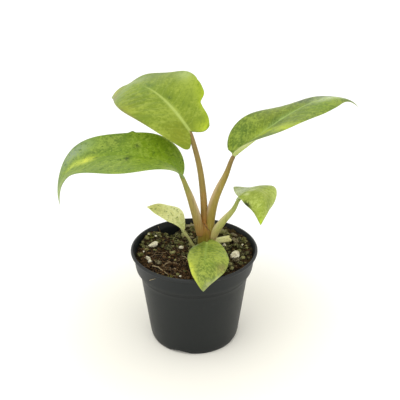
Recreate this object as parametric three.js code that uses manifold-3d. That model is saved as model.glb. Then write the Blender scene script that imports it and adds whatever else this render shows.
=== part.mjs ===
// A young philodendron with six leaves, rooted in a small round nursery pot.
// Millimetres, +Z up. The pot stands on Z = 0 and -Y is the front.
import * as THREE from 'three';
import { mergeVertices } from 'three/addons/utils/BufferGeometryUtils.js';
import Module from 'manifold-3d';

const wasm = await Module();
wasm.setup();

// Driving dimensions
const potAxis = new THREE.Vector3(-6.9, -8.9, 0); // the pot's axis, seen from the middle of the whole plant
const gap = 0.3; // air between neighbouring pieces
const rimRadius = 30.4;
const potHeight = 47.4;
const footRadius = 21.2;
const shoulderHeight = 35.1; // where the straight wall steps out to the collar
const shoulderRadius = 26;
const collarHeight = 37.9;
const collarRadius = 28.1;
const collarTop = 29.2; // its radius under the lip
const lipHeight = 1.6;
const lipWidth = 1.4;
const wallThickness = 1;
const floorTop = 2.9;
const floorUnderside = 1.7;
const archCount = 4;
const archWidth = 10.4;
const archRise = 1.6;
const archAngle = 251; // degrees, the arch at the front left
const soilLevel = 44.6;
const bladeThickness = 0.64;
const keelDepth = 0.8; // how far the midrib stands out under a blade
const crownBase = new THREE.Vector3(5.4, 3.2, 36);
const crownTop = new THREE.Vector3(5, 2.6, 59.5);

const potSegments = 40;
const soilRings = 13;
const soilSegments = 44;
const stemSides = 9;

// Leaf blades. The heading is the way the midrib leaves its petiole, in degrees from +X towards +Y.
// Left and right are as seen from the petiole towards the tip.
const blades = {
  left: {
    base: [-5.2, -6.7, 88.2], length: 81, rows: 22, halfWidth: [16.2, 15.9], spread: 0.61, taper: 0.84,
    notch: [0.002, 0.002], lobes: [1, 0], heading: 172, turn: -12.5, pitch: [3, -107], droop: 2.65, rise: 62,
    roll: [-3, -25], fold: [[14, -13], [5.5, 11.5]], curl: [11, 9],
    wave: [[2, 1.5, 0.28], [1.15, 1.95, 0.925]],
  },
  top: {
    base: [-2, 3.1, 105.9], length: 69.5, rows: 22, halfWidth: [18.7, 19.2], spread: 0.885, taper: 0.84,
    notch: [0.1, 0.1], lobes: [9.5, 4.5], heading: 124, turn: 10, pitch: [27.5, -53], droop: 1.72, rise: 0,
    roll: [-8.5, -14.5], fold: [[10, -22], [21, -18.5]], curl: [-7, 9.5],
    wave: [[-0.1, 2.7, 0.13], [1.25, 2.3, 0.4]], tear: { at: 0.185, depth: 0.2 },
  },
  right: {
    base: [18, -1.5, 96], length: 75, rows: 22, halfWidth: [15.5, 17], spread: 0.5, taper: 1,
    notch: [0.01, 0.01], lobes: [0, 1], heading: 24.5, turn: 5, pitch: [29.5, -50], droop: 2.8, rise: 0,
    roll: [3.5, -1], fold: [[30, -15.5], [52, -31]], curl: [-29, -13.5],
    wave: [[-1.2, 2, 0.27], [0.3, 2.75, 0.1]],
  },
  small_right: {
    base: [20.9, -3.3, 75.4], length: 34.8, rows: 16, halfWidth: [9, 10.8], spread: 0.69, taper: 0.67,
    notch: [0.13, 0.002], lobes: [3, 0], lobeBend: 0.5, heading: -20, turn: -112, pitch: [64, -105],
    droop: 1.32, rise: -31, roll: [-14.5, -27], fold: [[59.5, -44.5], [4, -46.5]], curl: [-31, -29],
    wave: [[-1.9, 1.95, -0.08], [0.6, 2.1, -0.83]],
  },
  small_left: {
    base: [-5, 3, 55], length: 22, rows: 12, halfWidth: [6, 7], spread: 0.85, taper: 0.95,
    notch: [0.01, 0.01], lobes: [0.3, 0], heading: 150, turn: 23.5, pitch: [58.5, -0.5], droop: 0.9, rise: 0,
    roll: [-5.5, -18], fold: [[27.5, -11.5], [17.5, -5]], curl: [6.5, -19.5],
    wave: [[-0.2, 2.35, 0.3], [0.6, 2, 0.57]],
  },
  front: {
    base: [6, -6, 53], length: 33.5, rows: 16, halfWidth: [11, 8], spread: 0.9, taper: 0.8,
    notch: [0.04, 0.04], lobes: [3.5, 1.5], heading: -93.5, turn: 0.5, pitch: [5.5, -82.5], droop: 3, rise: 0,
    roll: [-0.5, -20.5], fold: [[17, -11], [10.5, -10.5]], curl: [-19, -18.5],
    wave: [[0.3, 2.85, 0], [-0.5, 2.6, 0.2]],
  },
};

// Petioles run from inside the crown to their blade's base; radii are at the root and at the blade.
const petioles = {
  top: { path: [[4.8, 2.8, 54], [4.8, 3, 62], [4.3, 3, 74], [2.8, 3, 87], [0.3, 3, 98]], radius: [1.9, 1.1] },
  left: { path: [[3.8, 1.6, 54], [1.8, 0, 61.7], [-0.5, -2, 70.5], [-2.9, -4.3, 79.5]], radius: [2.5, 0.95] },
  right: { path: [[6.2, 2.4, 53], [7.6, 2, 63.5], [9.9, 1.2, 73], [14.2, 0, 84.5]], radius: [2.7, 1] },
  small_right: {
    path: [[6.4, 1.4, 49], [9.2, 0.4, 54.6], [13.9, -1.4, 62.3], [18.2, -2.7, 68.8]], radius: [2.5, 0.8],
  },
  small_left: { path: [[4, 2.4, 43.5], [0.6, 2.1, 45.8], [-2.6, 2.2, 51]], radius: [1, 0.7] },
  front: { path: [[5.3, 2, 45], [5.5, -1.8, 47.4], [5.8, -4.6, 50.2]], radius: [1.4, 1] },
};
const stub = { path: [[6, 3.2, 47.2], [10, 4.6, 47.9], [14, 5.8, 48.2], [17.4, 7, 48.3]], radius: [1.5, 1.6] };

// Perlite grains: middle in the pot's own frame and half sizes
const perlite = [
  { at: [-19.8, 6], size: [2.4, 1.5, 1.5], turn: 30 },
  { at: [-21.9, -5.6], size: [1.2, 1.1, 1.1], turn: 0 },
  { at: [-20.7, -9.4], size: [1, 1, 0.9], turn: 40 },
  { at: [-6.4, 3.8], size: [1.2, 0.8, 0.8], turn: -20 },
  { at: [19.6, -4.7], size: [2.5, 2, 2], turn: 60 },
  { at: [14.6, 4.4], size: [1, 1, 1], turn: 10 },
];

const radians = THREE.MathUtils.degToRad;
const lerp = THREE.MathUtils.lerp;

// A seeded generator, so that every build draws the same crumbs
function makeRandom(seed) {
  let state = seed;
  return () => {
    state = (state * 1664525 + 1013904223) % 4294967296;
    return state / 4294967296;
  };
}

// Solids

function geometryFrom(points, faces) {
  const geometry = new THREE.BufferGeometry();
  geometry.setAttribute('position', new THREE.Float32BufferAttribute(points.flatMap((p) => [p.x, p.y, p.z]), 3));
  geometry.setIndex(faces.flat());
  return geometry;
}

function toSolid(geometry) {
  const bare = geometry.clone();
  bare.deleteAttribute('normal');
  bare.deleteAttribute('uv');
  const merged = mergeVertices(bare, 1e-4);
  const vertProperties = new Float32Array(merged.attributes.position.array);
  const triVerts = new Uint32Array(merged.index.array);
  return new wasm.Manifold(new wasm.Mesh({ numProp: 3, vertProperties, triVerts }));
}

function toGeometry(solid) {
  const mesh = solid.getMesh();
  const geometry = new THREE.BufferGeometry();
  geometry.setAttribute('position', new THREE.BufferAttribute(new Float32Array(mesh.vertProperties), 3));
  geometry.setIndex([...mesh.triVerts]);
  return geometry;
}

// The largest body left after a cut
function largestPiece(solid) {
  return solid.decompose().sort((a, b) => b.volume() - a.volume())[0];
}

// A closed skin over a grid that goes round in its columns and has a point at each end
function closedSkin(rings, first, last) {
  const count = rings[0].length;
  const points = [first, ...rings.flat(), last];
  const at = (row, column) => 1 + row * count + (column % count);
  const faces = [];
  for (let column = 0; column < count; column += 1) {
    faces.push([0, at(0, column + 1), at(0, column)]);
    faces.push([points.length - 1, at(rings.length - 1, column), at(rings.length - 1, column + 1)]);
    for (let row = 0; row < rings.length - 1; row += 1) {
      faces.push([at(row, column), at(row, column + 1), at(row + 1, column + 1)]);
      faces.push([at(row, column), at(row + 1, column + 1), at(row + 1, column)]);
    }
  }
  return geometryFrom(points, faces);
}

// A round stem of changing radius along a smooth curve; grow widens it for the hole that it stands in
function stemGeometry(path, radiusAt, steps, sides, grow = 0) {
  const curve = new THREE.CatmullRomCurve3(path.map((p) => new THREE.Vector3(...p)));
  const { normals, binormals } = curve.computeFrenetFrames(steps, false);
  const rings = [];
  for (let step = 0; step <= steps; step += 1) {
    const t = step / steps;
    const centre = curve.getPointAt(t);
    const ring = [];
    for (let side = 0; side < sides; side += 1) {
      const angle = (2 * Math.PI * side) / sides;
      const radius = radiusAt(t) + grow;
      const point = centre.clone();
      point.addScaledVector(normals[step], radius * Math.cos(angle));
      point.addScaledVector(binormals[step], radius * Math.sin(angle));
      ring.push(point);
    }
    rings.push(ring);
  }
  const first = curve.getPointAt(0).addScaledVector(curve.getTangentAt(0), -grow);
  const last = curve.getPointAt(1).addScaledVector(curve.getTangentAt(1), grow);
  return closedSkin(rings, first, last);
}

// Pot: one wall turned round the axis, with a shoulder, a collar, a rolled lip and a raised floor
function potProfile() {
  const inner = (radius) => radius - wallThickness;
  const lipTop = potHeight - lipHeight;
  const lipInner = rimRadius - lipWidth;
  return [
    [0, floorUnderside], [footRadius - 2.4, floorUnderside], [footRadius - 2.2, 0], [footRadius - 1, 0],
    [footRadius - 0.3, 0.3], [footRadius, 0.9], [footRadius + 0.5, 2.4],
    [shoulderRadius, shoulderHeight], [shoulderRadius + 0.5, shoulderHeight + 0.8],
    [collarRadius - 0.4, collarHeight - 0.6], [collarRadius, collarHeight],
    [collarTop, lipTop - 0.1], [rimRadius - 0.3, lipTop + 0.3], [rimRadius, lipTop + 0.9],
    [rimRadius - 0.3, potHeight - 0.2], [rimRadius - 0.8, potHeight], [lipInner + 0.2, potHeight - 0.1],
    [lipInner, potHeight - 0.6], [inner(collarTop), lipTop - 1],
    [inner(collarRadius), collarHeight + 0.5], [inner(shoulderRadius), shoulderHeight + 0.6],
    [footRadius - 0.8, floorTop + 0.8], [footRadius - 1.5, floorTop], [0, floorTop],
  ].map(([radius, height]) => new THREE.Vector2(radius, height));
}

function makePot() {
  const turned = new THREE.LatheGeometry(potProfile(), potSegments);
  turned.rotateX(Math.PI / 2);
  let pot = toSolid(turned);
  for (let arch = 0; arch < archCount; arch += 1) {
    const angle = radians(archAngle + (360 / archCount) * arch);
    const cutter = new THREE.CylinderGeometry(archWidth / 2, archWidth / 2, 2 * rimRadius - footRadius, 16);
    cutter.scale(1, 1, (2 * archRise) / archWidth);
    cutter.rotateZ(Math.PI / 2);
    cutter.translate(footRadius + 4, 0, 0);
    cutter.rotateZ(angle);
    pot = pot.subtract(toSolid(cutter));
  }
  return pot;
}

// Soil: a filling with a crumbly top. It has a hollow by the wall at the back left, stands higher along the
// back, on the right, at the front right and at the left beside the hollow, and is mounded round the crown.
function soilHeight(x, y) {
  const hollow = 5.4 * Math.exp(-((x + 12) ** 2) / 30 - (y - 25) ** 2 / 70);
  const back = 1.4 * Math.exp(-((y - 24) ** 2) / 110);
  const right = 1.4 * Math.exp(-((x - 26) ** 2 + (y - 8) ** 2) / 110);
  const front = 0.9 * Math.exp(-((x - 17) ** 2 + (y + 17) ** 2) / 150);
  const left = 1.4 * Math.exp(-((x + 22) ** 2 + (y - 13) ** 2) / 40);
  const mound = 0.8 * Math.exp(-((x - 5) ** 2 + (y - 2) ** 2) / 90);
  const clods = 0.45 * Math.sin(0.9 * x + 0.4 * y + 1) * Math.cos(0.8 * y - 0.5 * x);
  const crumbs = 0.35 * Math.sin(2.1 * x - 0.7 * y) * Math.sin(1.9 * y + 0.6 * x + 2);
  return soilLevel + back + right + front + left + mound + clods + crumbs - hollow;
}

function makeSoil() {
  const random = makeRandom(7);
  const lean = (collarTop - collarRadius) / (potHeight - lipHeight - collarHeight);
  const edgeRadius = (height) => collarRadius - wallThickness - gap + lean * (height - collarHeight);
  const ringAt = (place) => Array.from({ length: soilSegments }, (_, column) => {
    const angle = (2 * Math.PI * column) / soilSegments;
    const [radius, height] = place(Math.cos(angle), Math.sin(angle));
    return new THREE.Vector3(radius * Math.cos(angle), radius * Math.sin(angle), height);
  });
  const edge = edgeRadius(soilLevel);
  const rings = [];
  for (let ring = 1; ring < soilRings; ring += 1) {
    const radius = (edge * ring) / soilRings;
    rings.push(ringAt((x, y) => [radius, soilHeight(radius * x, radius * y) + 0.7 * (random() - 0.5)]));
  }
  rings.push(ringAt((x, y) => {
    const height = soilHeight(edge * x, edge * y);
    return [edgeRadius(height), height];
  }));
  const filling = [
    [edgeRadius(collarHeight), collarHeight + 0.5],
    [shoulderRadius - wallThickness - gap, shoulderHeight + 0.4],
    [footRadius - 1.3, floorTop + 1],
    [footRadius - 2.1, floorTop + gap],
  ];
  rings.push(...filling.map((place) => ringAt(() => place)));
  const top = new THREE.Vector3(0, 0, soilHeight(0, 0));
  const bottom = new THREE.Vector3(0, 0, floorTop + gap);
  return toSolid(closedSkin(rings.map((ring) => ring.reverse()), top, bottom));
}

// Perlite: a rough grain, half sunk in the soil; grow widens it for its pit
function makeGrain({ at, size, turn }, index, grow = 0) {
  const random = makeRandom(100 + index);
  const geometry = new THREE.IcosahedronGeometry(1, 1);
  geometry.deleteAttribute('normal');
  geometry.deleteAttribute('uv');
  const grain = mergeVertices(geometry, 1e-4);
  const position = grain.attributes.position;
  for (let corner = 0; corner < position.count; corner += 1) {
    const dent = 0.78 + 0.34 * random();
    const [x, y, z] = [0, 1, 2].map((axis) => {
      const unit = position.getComponent(corner, axis);
      return unit * (size[axis] * dent + grow);
    });
    position.setXYZ(corner, x, y, z);
  }
  grain.rotateZ(radians(turn));
  grain.translate(at[0], at[1], soilHeight(...at) + 0.35 * size[2]);
  return toSolid(grain);
}

// Blade: the midrib is a curve whose pitch and heading change along it. At each station the two halves
// leave it at a fold angle and curl on towards their edge, and the edge waves. Rows lean back into the
// lobes at the base. The half width is a power of a sine along the blade, widest near the base. The rise
// is the extra pitch with which some midribs leave their petiole before they bend over.
const midribSteps = 96;
const columnPlaces = [-1, -0.72, -0.4, -0.09, 0, 0.09, 0.4, 0.72, 1];

function midribAngles(leaf, along) {
  return {
    pitch: radians(lerp(leaf.pitch[0], leaf.pitch[1], along ** leaf.droop) + leaf.rise * (1 - along) ** 10),
    heading: radians(leaf.heading + leaf.turn * along),
  };
}

function tangentAt(leaf, along) {
  const { pitch, heading } = midribAngles(leaf, along);
  return new THREE.Vector3(
    Math.cos(pitch) * Math.cos(heading),
    Math.cos(pitch) * Math.sin(heading),
    Math.sin(pitch),
  );
}

function midribCurve(leaf) {
  const points = [new THREE.Vector3(...leaf.base)];
  for (let step = 0; step < midribSteps; step += 1) {
    const tangent = tangentAt(leaf, (step + 0.5) / midribSteps);
    points.push(points[step].clone().addScaledVector(tangent, leaf.length / midribSteps));
  }
  return points;
}

function midribPoint(leaf, curve, along) {
  if (along < 0) {
    return curve[0].clone().addScaledVector(tangentAt(leaf, 0), along * leaf.length);
  }
  const place = Math.min(along * midribSteps, midribSteps - 1e-6);
  const step = Math.floor(place);
  return curve[step].clone().lerp(curve[step + 1], place - step);
}

// The blade's sideways and upward directions at a station of the midrib
function bladeDirections(leaf, station) {
  const { heading } = midribAngles(leaf, station);
  const level = new THREE.Vector3(-Math.sin(heading), Math.cos(heading), 0);
  const upright = tangentAt(leaf, station).cross(level);
  const roll = radians(lerp(leaf.roll[0], leaf.roll[1], station));
  const side = level.clone().multiplyScalar(Math.cos(roll)).addScaledVector(upright, Math.sin(roll));
  const normal = upright.clone().multiplyScalar(Math.cos(roll)).addScaledVector(level, -Math.sin(roll));
  return { side, normal };
}

// A tear in the margin deepens slowly from the base side and closes sharply on the tip side
function tearAt({ at, depth }, row) {
  const span = row < at ? 0.12 : 0.03;
  return depth * Math.exp(-(((row - at) / span) ** 2));
}

// A point of the blade's middle surface, and the way its upper face looks there. That way tilts with the
// fold only where the blade is wide enough, so that the two faces never cross beside the midrib.
function bladePoint(leaf, curve, row, across) {
  const half = across > 0 ? 0 : 1;
  const out = Math.abs(across);
  const shape = Math.max(Math.sin(Math.PI * lerp(leaf.notch[half], 1, row) ** leaf.spread), 0) ** leaf.taper;
  const lean = Math.sin((leaf.lobeBend ?? 0.7) * Math.PI * out) * (1 - row) ** 5;
  const along = row - (leaf.lobes[half] / leaf.length) * lean;
  const { side, normal } = bladeDirections(leaf, Math.max(along, 0));
  const torn = half === 1 && leaf.tear ? tearAt(leaf.tear, row) * out * out : 0;
  const reach = leaf.halfWidth[half] * shape * out * (1 - torn);
  const angle = radians(lerp(leaf.fold[half][0], leaf.fold[half][1], row) + 0.5 * leaf.curl[half] * out);
  const [height, count, phase] = leaf.wave[half];
  const ripple = height * Math.sin(2 * Math.PI * (count * row + phase)) * out * out * Math.min(1, 1.5 * shape);
  const point = midribPoint(leaf, curve, along)
    .addScaledVector(side, Math.sign(across) * reach * Math.cos(angle))
    .addScaledVector(normal, reach * Math.sin(angle) + ripple);
  const tilt = angle * Math.min(1, reach / (2 * bladeThickness));
  const upward = normal.clone().multiplyScalar(Math.cos(tilt));
  upward.addScaledVector(side, -Math.sign(across) * Math.sin(tilt));
  return { point, upward };
}

function makeBlade(leaf) {
  const curve = midribCurve(leaf);
  const grid = [];
  for (let row = 0; row <= leaf.rows; row += 1) {
    grid.push(columnPlaces.map((across) => bladePoint(leaf, curve, (row / leaf.rows) ** 1.35, across)));
  }
  const columns = columnPlaces.length;
  const points = [];
  const layer = (sign) => {
    const start = points.length;
    for (let row = 0; row <= leaf.rows; row += 1) {
      const inRow = row < leaf.rows ? columns : 1;
      for (let column = 0; column < inRow; column += 1) {
        const middle = row < leaf.rows ? column : 4;
        const keel = sign < 0 && middle === 4 ? keelDepth * (1 - row / leaf.rows) : 0;
        const depth = bladeThickness / 2 + keel;
        const { point, upward } = grid[row][middle];
        points.push(point.clone().addScaledVector(upward, sign * depth));
      }
    }
    return (row, column) => start + row * columns + (row < leaf.rows ? column : 0);
  };
  const top = layer(1);
  const bottom = layer(-1);
  const faces = [];
  const quad = (a, b, c, d) => {
    if (a !== b && b !== c) faces.push([a, b, c]);
    if (a !== d && c !== d) faces.push([a, c, d]);
  };
  for (let row = 0; row < leaf.rows; row += 1) {
    for (let column = 0; column < columns - 1; column += 1) {
      const corners = [[row, column], [row + 1, column], [row + 1, column + 1], [row, column + 1]];
      const [a, b, c, d] = corners.map(([r, k]) => top(r, k));
      const [e, f, g, h] = corners.map(([r, k]) => bottom(r, k));
      quad(a, b, c, d);
      if (e !== f && f !== g) faces.push([e, g, f]);
      if (e !== h && g !== h) faces.push([e, h, g]);
    }
    const last = columns - 1;
    quad(top(row, last), top(row + 1, last), bottom(row + 1, last), bottom(row, last));
    quad(top(row + 1, 0), top(row, 0), bottom(row, 0), bottom(row + 1, 0));
  }
  for (let column = 0; column < columns - 1; column += 1) {
    quad(top(0, column), top(0, column + 1), bottom(0, column + 1), bottom(0, column));
  }
  return toSolid(geometryFrom(points, faces));
}

// Stems

function petioleSolid(name, grow = 0) {
  const { path, radius } = petioles[name];
  const end = blades[name].base;
  const steps = 3 * path.length;
  const radiusAt = (t) => lerp(radius[0], radius[1], t);
  return toSolid(stemGeometry([...path, end], radiusAt, steps, stemSides, grow));
}

// A petiole ends square to its own run, just short of the blade that it carries
function endBelowBlade(name, blade) {
  const { path } = petioles[name];
  const run = new THREE.Vector3(...blades[name].base).sub(new THREE.Vector3(...path.at(-1))).normalize();
  const touch = blade.intersect(petioleSolid(name, gap)).getMesh().vertProperties;
  let height = Infinity;
  for (let corner = 0; corner < touch.length; corner += 3) {
    height = Math.min(height, run.x * touch[corner] + run.y * touch[corner + 1] + run.z * touch[corner + 2]);
  }
  return petioleSolid(name).trimByPlane(run.clone().negate().toArray(), gap - height);
}

function crownSolid(grow = 0) {
  const path = [crownBase, crownBase.clone().lerp(crownTop, 0.5), crownTop].map((p) => p.toArray());
  const radiusAt = (t) => 3.2 * Math.sin(Math.PI * (0.12 + 0.76 * t)) ** 0.4 * (1 + 0.28 * Math.sin(Math.PI * t));
  return toSolid(stemGeometry(path, radiusAt, 8, 14, grow));
}

function stubSolid(grow = 0) {
  return toSolid(stemGeometry(stub.path, (t) => lerp(stub.radius[0], stub.radius[1], t), 6, stemSides, grow));
}

// Assembly

const finishes = {
  pot: { color: 0x3c3f3d, roughness: 0.45 },
  soil: { color: 0x3a3020, roughness: 1 },
  perlite: { color: 0xd8d3c0, roughness: 0.95 },
  crown: { color: 0x94763a, roughness: 0.55 },
  stub: { color: 0xcdcf8e, roughness: 0.7 },
  petiole: { color: 0x9c7d3c, roughness: 0.5 },
  palePetiole: { color: 0xa7ad68, roughness: 0.5 },
  blade: { color: 0x88a63a, roughness: 0.42 },
  paleBlade: { color: 0xc3cb80, roughness: 0.45 },
};
const paleStems = ['small_right', 'small_left', 'front'];
const paleBlades = ['small_left', 'small_right'];

const plant = new THREE.Group();
plant.position.copy(potAxis);

function addPiece(name, solid, finish) {
  const material = new THREE.MeshStandardMaterial({ metalness: 0, ...finishes[finish] });
  const mesh = new THREE.Mesh(toGeometry(solid), material);
  mesh.name = name;
  plant.add(mesh);
}

addPiece('pot', makePot(), 'pot');

let soil = makeSoil().subtract(crownSolid(gap)).subtract(stubSolid(gap));
perlite.forEach((grain, index) => {
  soil = soil.subtract(makeGrain(grain, index, gap));
  addPiece(`perlite_${index + 1}`, makeGrain(grain, index), 'perlite');
});

const crown = crownSolid();
addPiece('crown', crown, 'crown');

// Each stem starts at the crown's skin and gives way to the stems that grew before it
let standing = crownSolid(gap);
for (const name of Object.keys(petioles)) {
  const petiole = endBelowBlade(name, makeBlade(blades[name])).subtract(standing);
  addPiece(`petiole_${name}`, largestPiece(petiole), paleStems.includes(name) ? 'palePetiole' : 'petiole');
  standing = standing.add(petioleSolid(name, gap));
  soil = soil.subtract(petioleSolid(name, gap));
}
addPiece('old_leaf_stub', largestPiece(stubSolid().subtract(standing)), 'stub');
addPiece('soil', largestPiece(soil), 'soil');

for (const [name, leaf] of Object.entries(blades)) {
  addPiece(`blade_${name}`, makeBlade(leaf), paleBlades.includes(name) ? 'paleBlade' : 'blade');
}

export default plant;
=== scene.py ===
import math

import bpy
import numpy as np
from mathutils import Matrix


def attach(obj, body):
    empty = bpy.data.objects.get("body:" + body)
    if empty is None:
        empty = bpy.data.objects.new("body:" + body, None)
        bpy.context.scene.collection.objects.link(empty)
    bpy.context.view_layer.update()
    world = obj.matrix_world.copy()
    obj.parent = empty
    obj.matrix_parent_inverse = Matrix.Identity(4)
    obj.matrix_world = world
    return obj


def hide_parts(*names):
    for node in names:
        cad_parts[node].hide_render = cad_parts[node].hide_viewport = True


# A young philodendron in a small nursery pot. Sizes are millimetres in the pot's own frame, with the pot's
# axis at x = y = 0 and its foot at z = 0. toRow carries them into the frame of the whole model, in metres.

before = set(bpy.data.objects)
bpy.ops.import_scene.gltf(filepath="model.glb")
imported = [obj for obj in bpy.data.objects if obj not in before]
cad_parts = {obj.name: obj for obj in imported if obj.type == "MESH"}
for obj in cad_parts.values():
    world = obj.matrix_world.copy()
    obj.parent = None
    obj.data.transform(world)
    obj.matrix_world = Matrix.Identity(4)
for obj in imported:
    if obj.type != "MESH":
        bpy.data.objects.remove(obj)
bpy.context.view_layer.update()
potAxis = np.array([-6.9, -8.9, 0.0])
millimetre = 0.001
noQuads = np.zeros((0, 4), int)


def toRow(points):
    return (np.asarray(points, float) + potAxis) * millimetre


def smoothStep(value, low, high):  # 0 below low, 1 above high, eased between
    t = np.clip((value - low) / (high - low), 0, 1)
    return t * t * (3 - 2 * t)


def mix(first, second, share):
    return first + (second - first) * share


def unit(vectors):
    return vectors / np.linalg.norm(vectors, axis=-1, keepdims=True)


def bell(x, y, atX, atY, spreadX, spreadY):  # 1 at the given place, less and less away from it
    return np.exp(-((x - atX) ** 2) / spreadX - (y - atY) ** 2 / spreadY)


def turnAngles(count):  # even steps round a full turn
    return np.linspace(0, 2 * np.pi, count, endpoint=False)


def awayFrom(angle, other):  # how far one angle is from another, at most half a turn either way
    return (angle - other + np.pi) % (2 * np.pi) - np.pi


def polar(radius, angle, *height):  # points at a radius and an angle, and at a height where one is given
    return np.stack(np.broadcast_arrays(radius * np.cos(angle), radius * np.sin(angle), *height), axis=-1)


def linear(colour):  # a colour as seen on screen, 0 to 255, as Blender's linear values
    value = np.asarray(colour, float) / 255
    return np.where(value > 0.04045, ((value + 0.055) / 1.055) ** 2.4, value / 12.92)


def rgba(colour):
    return (*linear(colour), 1.0)


# Meshes


def gridQuads(rows, columns, closed):  # the quads of a grid, wrapping round in its columns where closed
    row, column = np.meshgrid(np.arange(rows - 1), np.arange(columns - (not closed)), indexing="ij")
    beside = (column + 1) % columns
    corners = [
        row * columns + column,
        (row + 1) * columns + column,
        (row + 1) * columns + beside,
        row * columns + beside,
    ]
    return np.stack(corners, axis=-1).reshape(-1, 4)


def closedSkin(rings, first, last):  # closes a grid of rings with a point at each end
    rows, columns = rings.shape[:2]
    points = np.vstack([rings.reshape(-1, 3), [first, last]])
    column = np.arange(columns)
    beside = (column + 1) % columns
    start = np.stack([np.full(columns, rows * columns), column, beside], axis=-1)
    end = np.stack([np.full(columns, rows * columns + 1), beside, column], axis=-1)
    end[:, 1:] += (rows - 1) * columns
    return points, gridQuads(rows, columns, True), np.vstack([start, end])


def facingOut(points, quads, triangles):
    # the same shape, with its faces turned round where the volume that they enclose comes out below zero
    sides = np.vstack([quads[:, [0, 1, 2]], quads[:, [0, 2, 3]], triangles])
    a, b, c = (points[sides[:, k]] for k in range(3))
    if np.sum(a * np.cross(b, c)) < 0:
        quads, triangles = quads[:, ::-1], triangles[:, ::-1]
    return points, quads, triangles


def joinShapes(shapes):  # several closed shapes as one
    parts, start = [], 0
    for points, quads, triangles in shapes:
        parts.append((points, quads + start, triangles + start))
        start += len(points)
    return tuple(np.vstack(items) for items in zip(*parts))


def addPiece(name, shape, material, nodes=(), uv=None, fields=None):
    # puts a shape into the scene; uv is its map by vertex, and fields are its attributes by vertex
    points, quads, triangles = facingOut(*shape)
    mesh = bpy.data.meshes.new(name)
    mesh.from_pydata(toRow(points).tolist(), [], quads.tolist() + triangles.tolist())
    mesh.polygons.foreach_set("use_smooth", np.ones(len(mesh.polygons), bool))
    if uv is not None:
        corner = np.zeros(len(mesh.loops), np.int32)
        mesh.loops.foreach_get("vertex_index", corner)
        layer = mesh.uv_layers.new(name="surface")
        layer.data.foreach_set("uv", uv[corner].astype(np.float32).ravel())
    for field, values in (fields or {}).items():
        if values.ndim == 2:
            attribute = mesh.attributes.new(field, "FLOAT_COLOR", "POINT")
            opaque = np.concatenate([values, np.ones((len(values), 1))], axis=1)
            attribute.data.foreach_set("color", opaque.astype(np.float32).ravel())
        else:
            attribute = mesh.attributes.new(field, "FLOAT", "POINT")
            attribute.data.foreach_set("value", values.astype(np.float32))
    piece = bpy.data.objects.new(name, mesh)
    bpy.context.scene.collection.objects.link(piece)
    mesh.materials.append(material)
    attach(piece, "root")
    if nodes:
        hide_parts(*nodes)


def smoothPath(points, count, stepsPerSpan=40):
    # a centripetal Catmull-Rom curve: each span is a cubic whose end slopes weigh the neighbouring spans by
    # the square root of their length; it is then cut again at even steps of its own length
    p = np.asarray(points, float)
    p = np.vstack([2 * p[0] - p[1], p, 2 * p[-1] - p[-2]])
    gaps = np.sqrt(np.linalg.norm(np.diff(p, axis=0), axis=1))
    t = np.linspace(0, 1, stepsPerSpan, endpoint=False)[:, None]
    spans = []
    for k in range(1, len(p) - 2):
        before, here, after = gaps[k - 1], gaps[k], gaps[k + 1]
        a, b, c, d = p[k - 1], p[k], p[k + 1], p[k + 2]
        leave = here * ((b - a) / before - (c - a) / (before + here) + (c - b) / here)
        arrive = here * ((c - b) / here - (d - b) / (here + after) + (d - c) / after)
        square = 3 * (c - b) - 2 * leave - arrive
        cube = 2 * (b - c) + leave + arrive
        spans.append(b + leave * t + square * t**2 + cube * t**3)
    line = np.vstack([*spans, p[-2]])
    along = np.concatenate([[0], np.cumsum(np.linalg.norm(np.diff(line, axis=0), axis=1))])
    even = np.linspace(0, along[-1], count)
    return np.stack([np.interp(even, along, line[:, k]) for k in range(3)], axis=-1)


def sweep(path, reference, radius):
    # rings of a changing radius (rows x columns) round a path; the column at 90 degrees looks along the
    # reference
    tangent = unit(np.gradient(path, axis=0))
    side = unit(np.cross(tangent, reference))
    upward = np.cross(side, tangent)
    angle = turnAngles(radius.shape[1])[None, :, None]
    outward = side[:, None] * np.cos(angle) + upward[:, None] * np.sin(angle)
    return path[:, None] + radius[..., None] * outward


def closedTube(path, reference, radius):
    return closedSkin(sweep(path, reference, radius), path[0], path[-1])


def lumpyNoise(points, scale, seed, octaves=3, waveCount=7):
    # a sum of sine waves in random directions, each octave twice as fine and about half as high, in -1 to 1
    random = np.random.default_rng(seed)
    total = np.zeros(points.shape[:-1])
    for octave in range(octaves):
        waves = unit(random.normal(size=(waveCount, points.shape[-1]))) * (2 * np.pi * 2**octave / scale)
        phases = random.uniform(0, 2 * np.pi, waveCount)
        total += 0.55**octave * np.sin(points @ waves.T + phases).sum(axis=-1) / (waveCount / 2)
    return np.clip(total / 1.6, -1, 1)


# Materials

skinOutputs = ("Colour", "Roughness", "Height")


def addNode(tree, kind, sockets=None, **settings):
    made = tree.nodes.new(kind)
    for name, value in settings.items():
        setattr(made, name, value)
    for name, value in (sockets or {}).items():
        if isinstance(value, bpy.types.NodeSocket):
            tree.links.new(value, made.inputs[name])
        else:
            made.inputs[name].default_value = value
    return made


def mathOf(tree, operation, first, second=0.0):
    return addNode(tree, "ShaderNodeMath", {0: first, 1: second}, operation=operation).outputs[0]


def times(tree, first, second):
    return mathOf(tree, "MULTIPLY", first, second)


def plus(tree, first, second):
    return mathOf(tree, "ADD", first, second)


def minus(tree, first, second):
    return mathOf(tree, "SUBTRACT", first, second)


def swing(tree, value, amount):  # a value from 0 to 1 as one that swings about zero
    return times(tree, minus(tree, value, 0.5), amount)


def easeOf(tree, value, low, high):  # 0 at low, 1 at high, eased between; low may be the greater of the two
    sockets = {0: value, 1: low, 2: high}
    return addNode(tree, "ShaderNodeMapRange", sockets, interpolation_type="SMOOTHSTEP").outputs[0]


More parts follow.
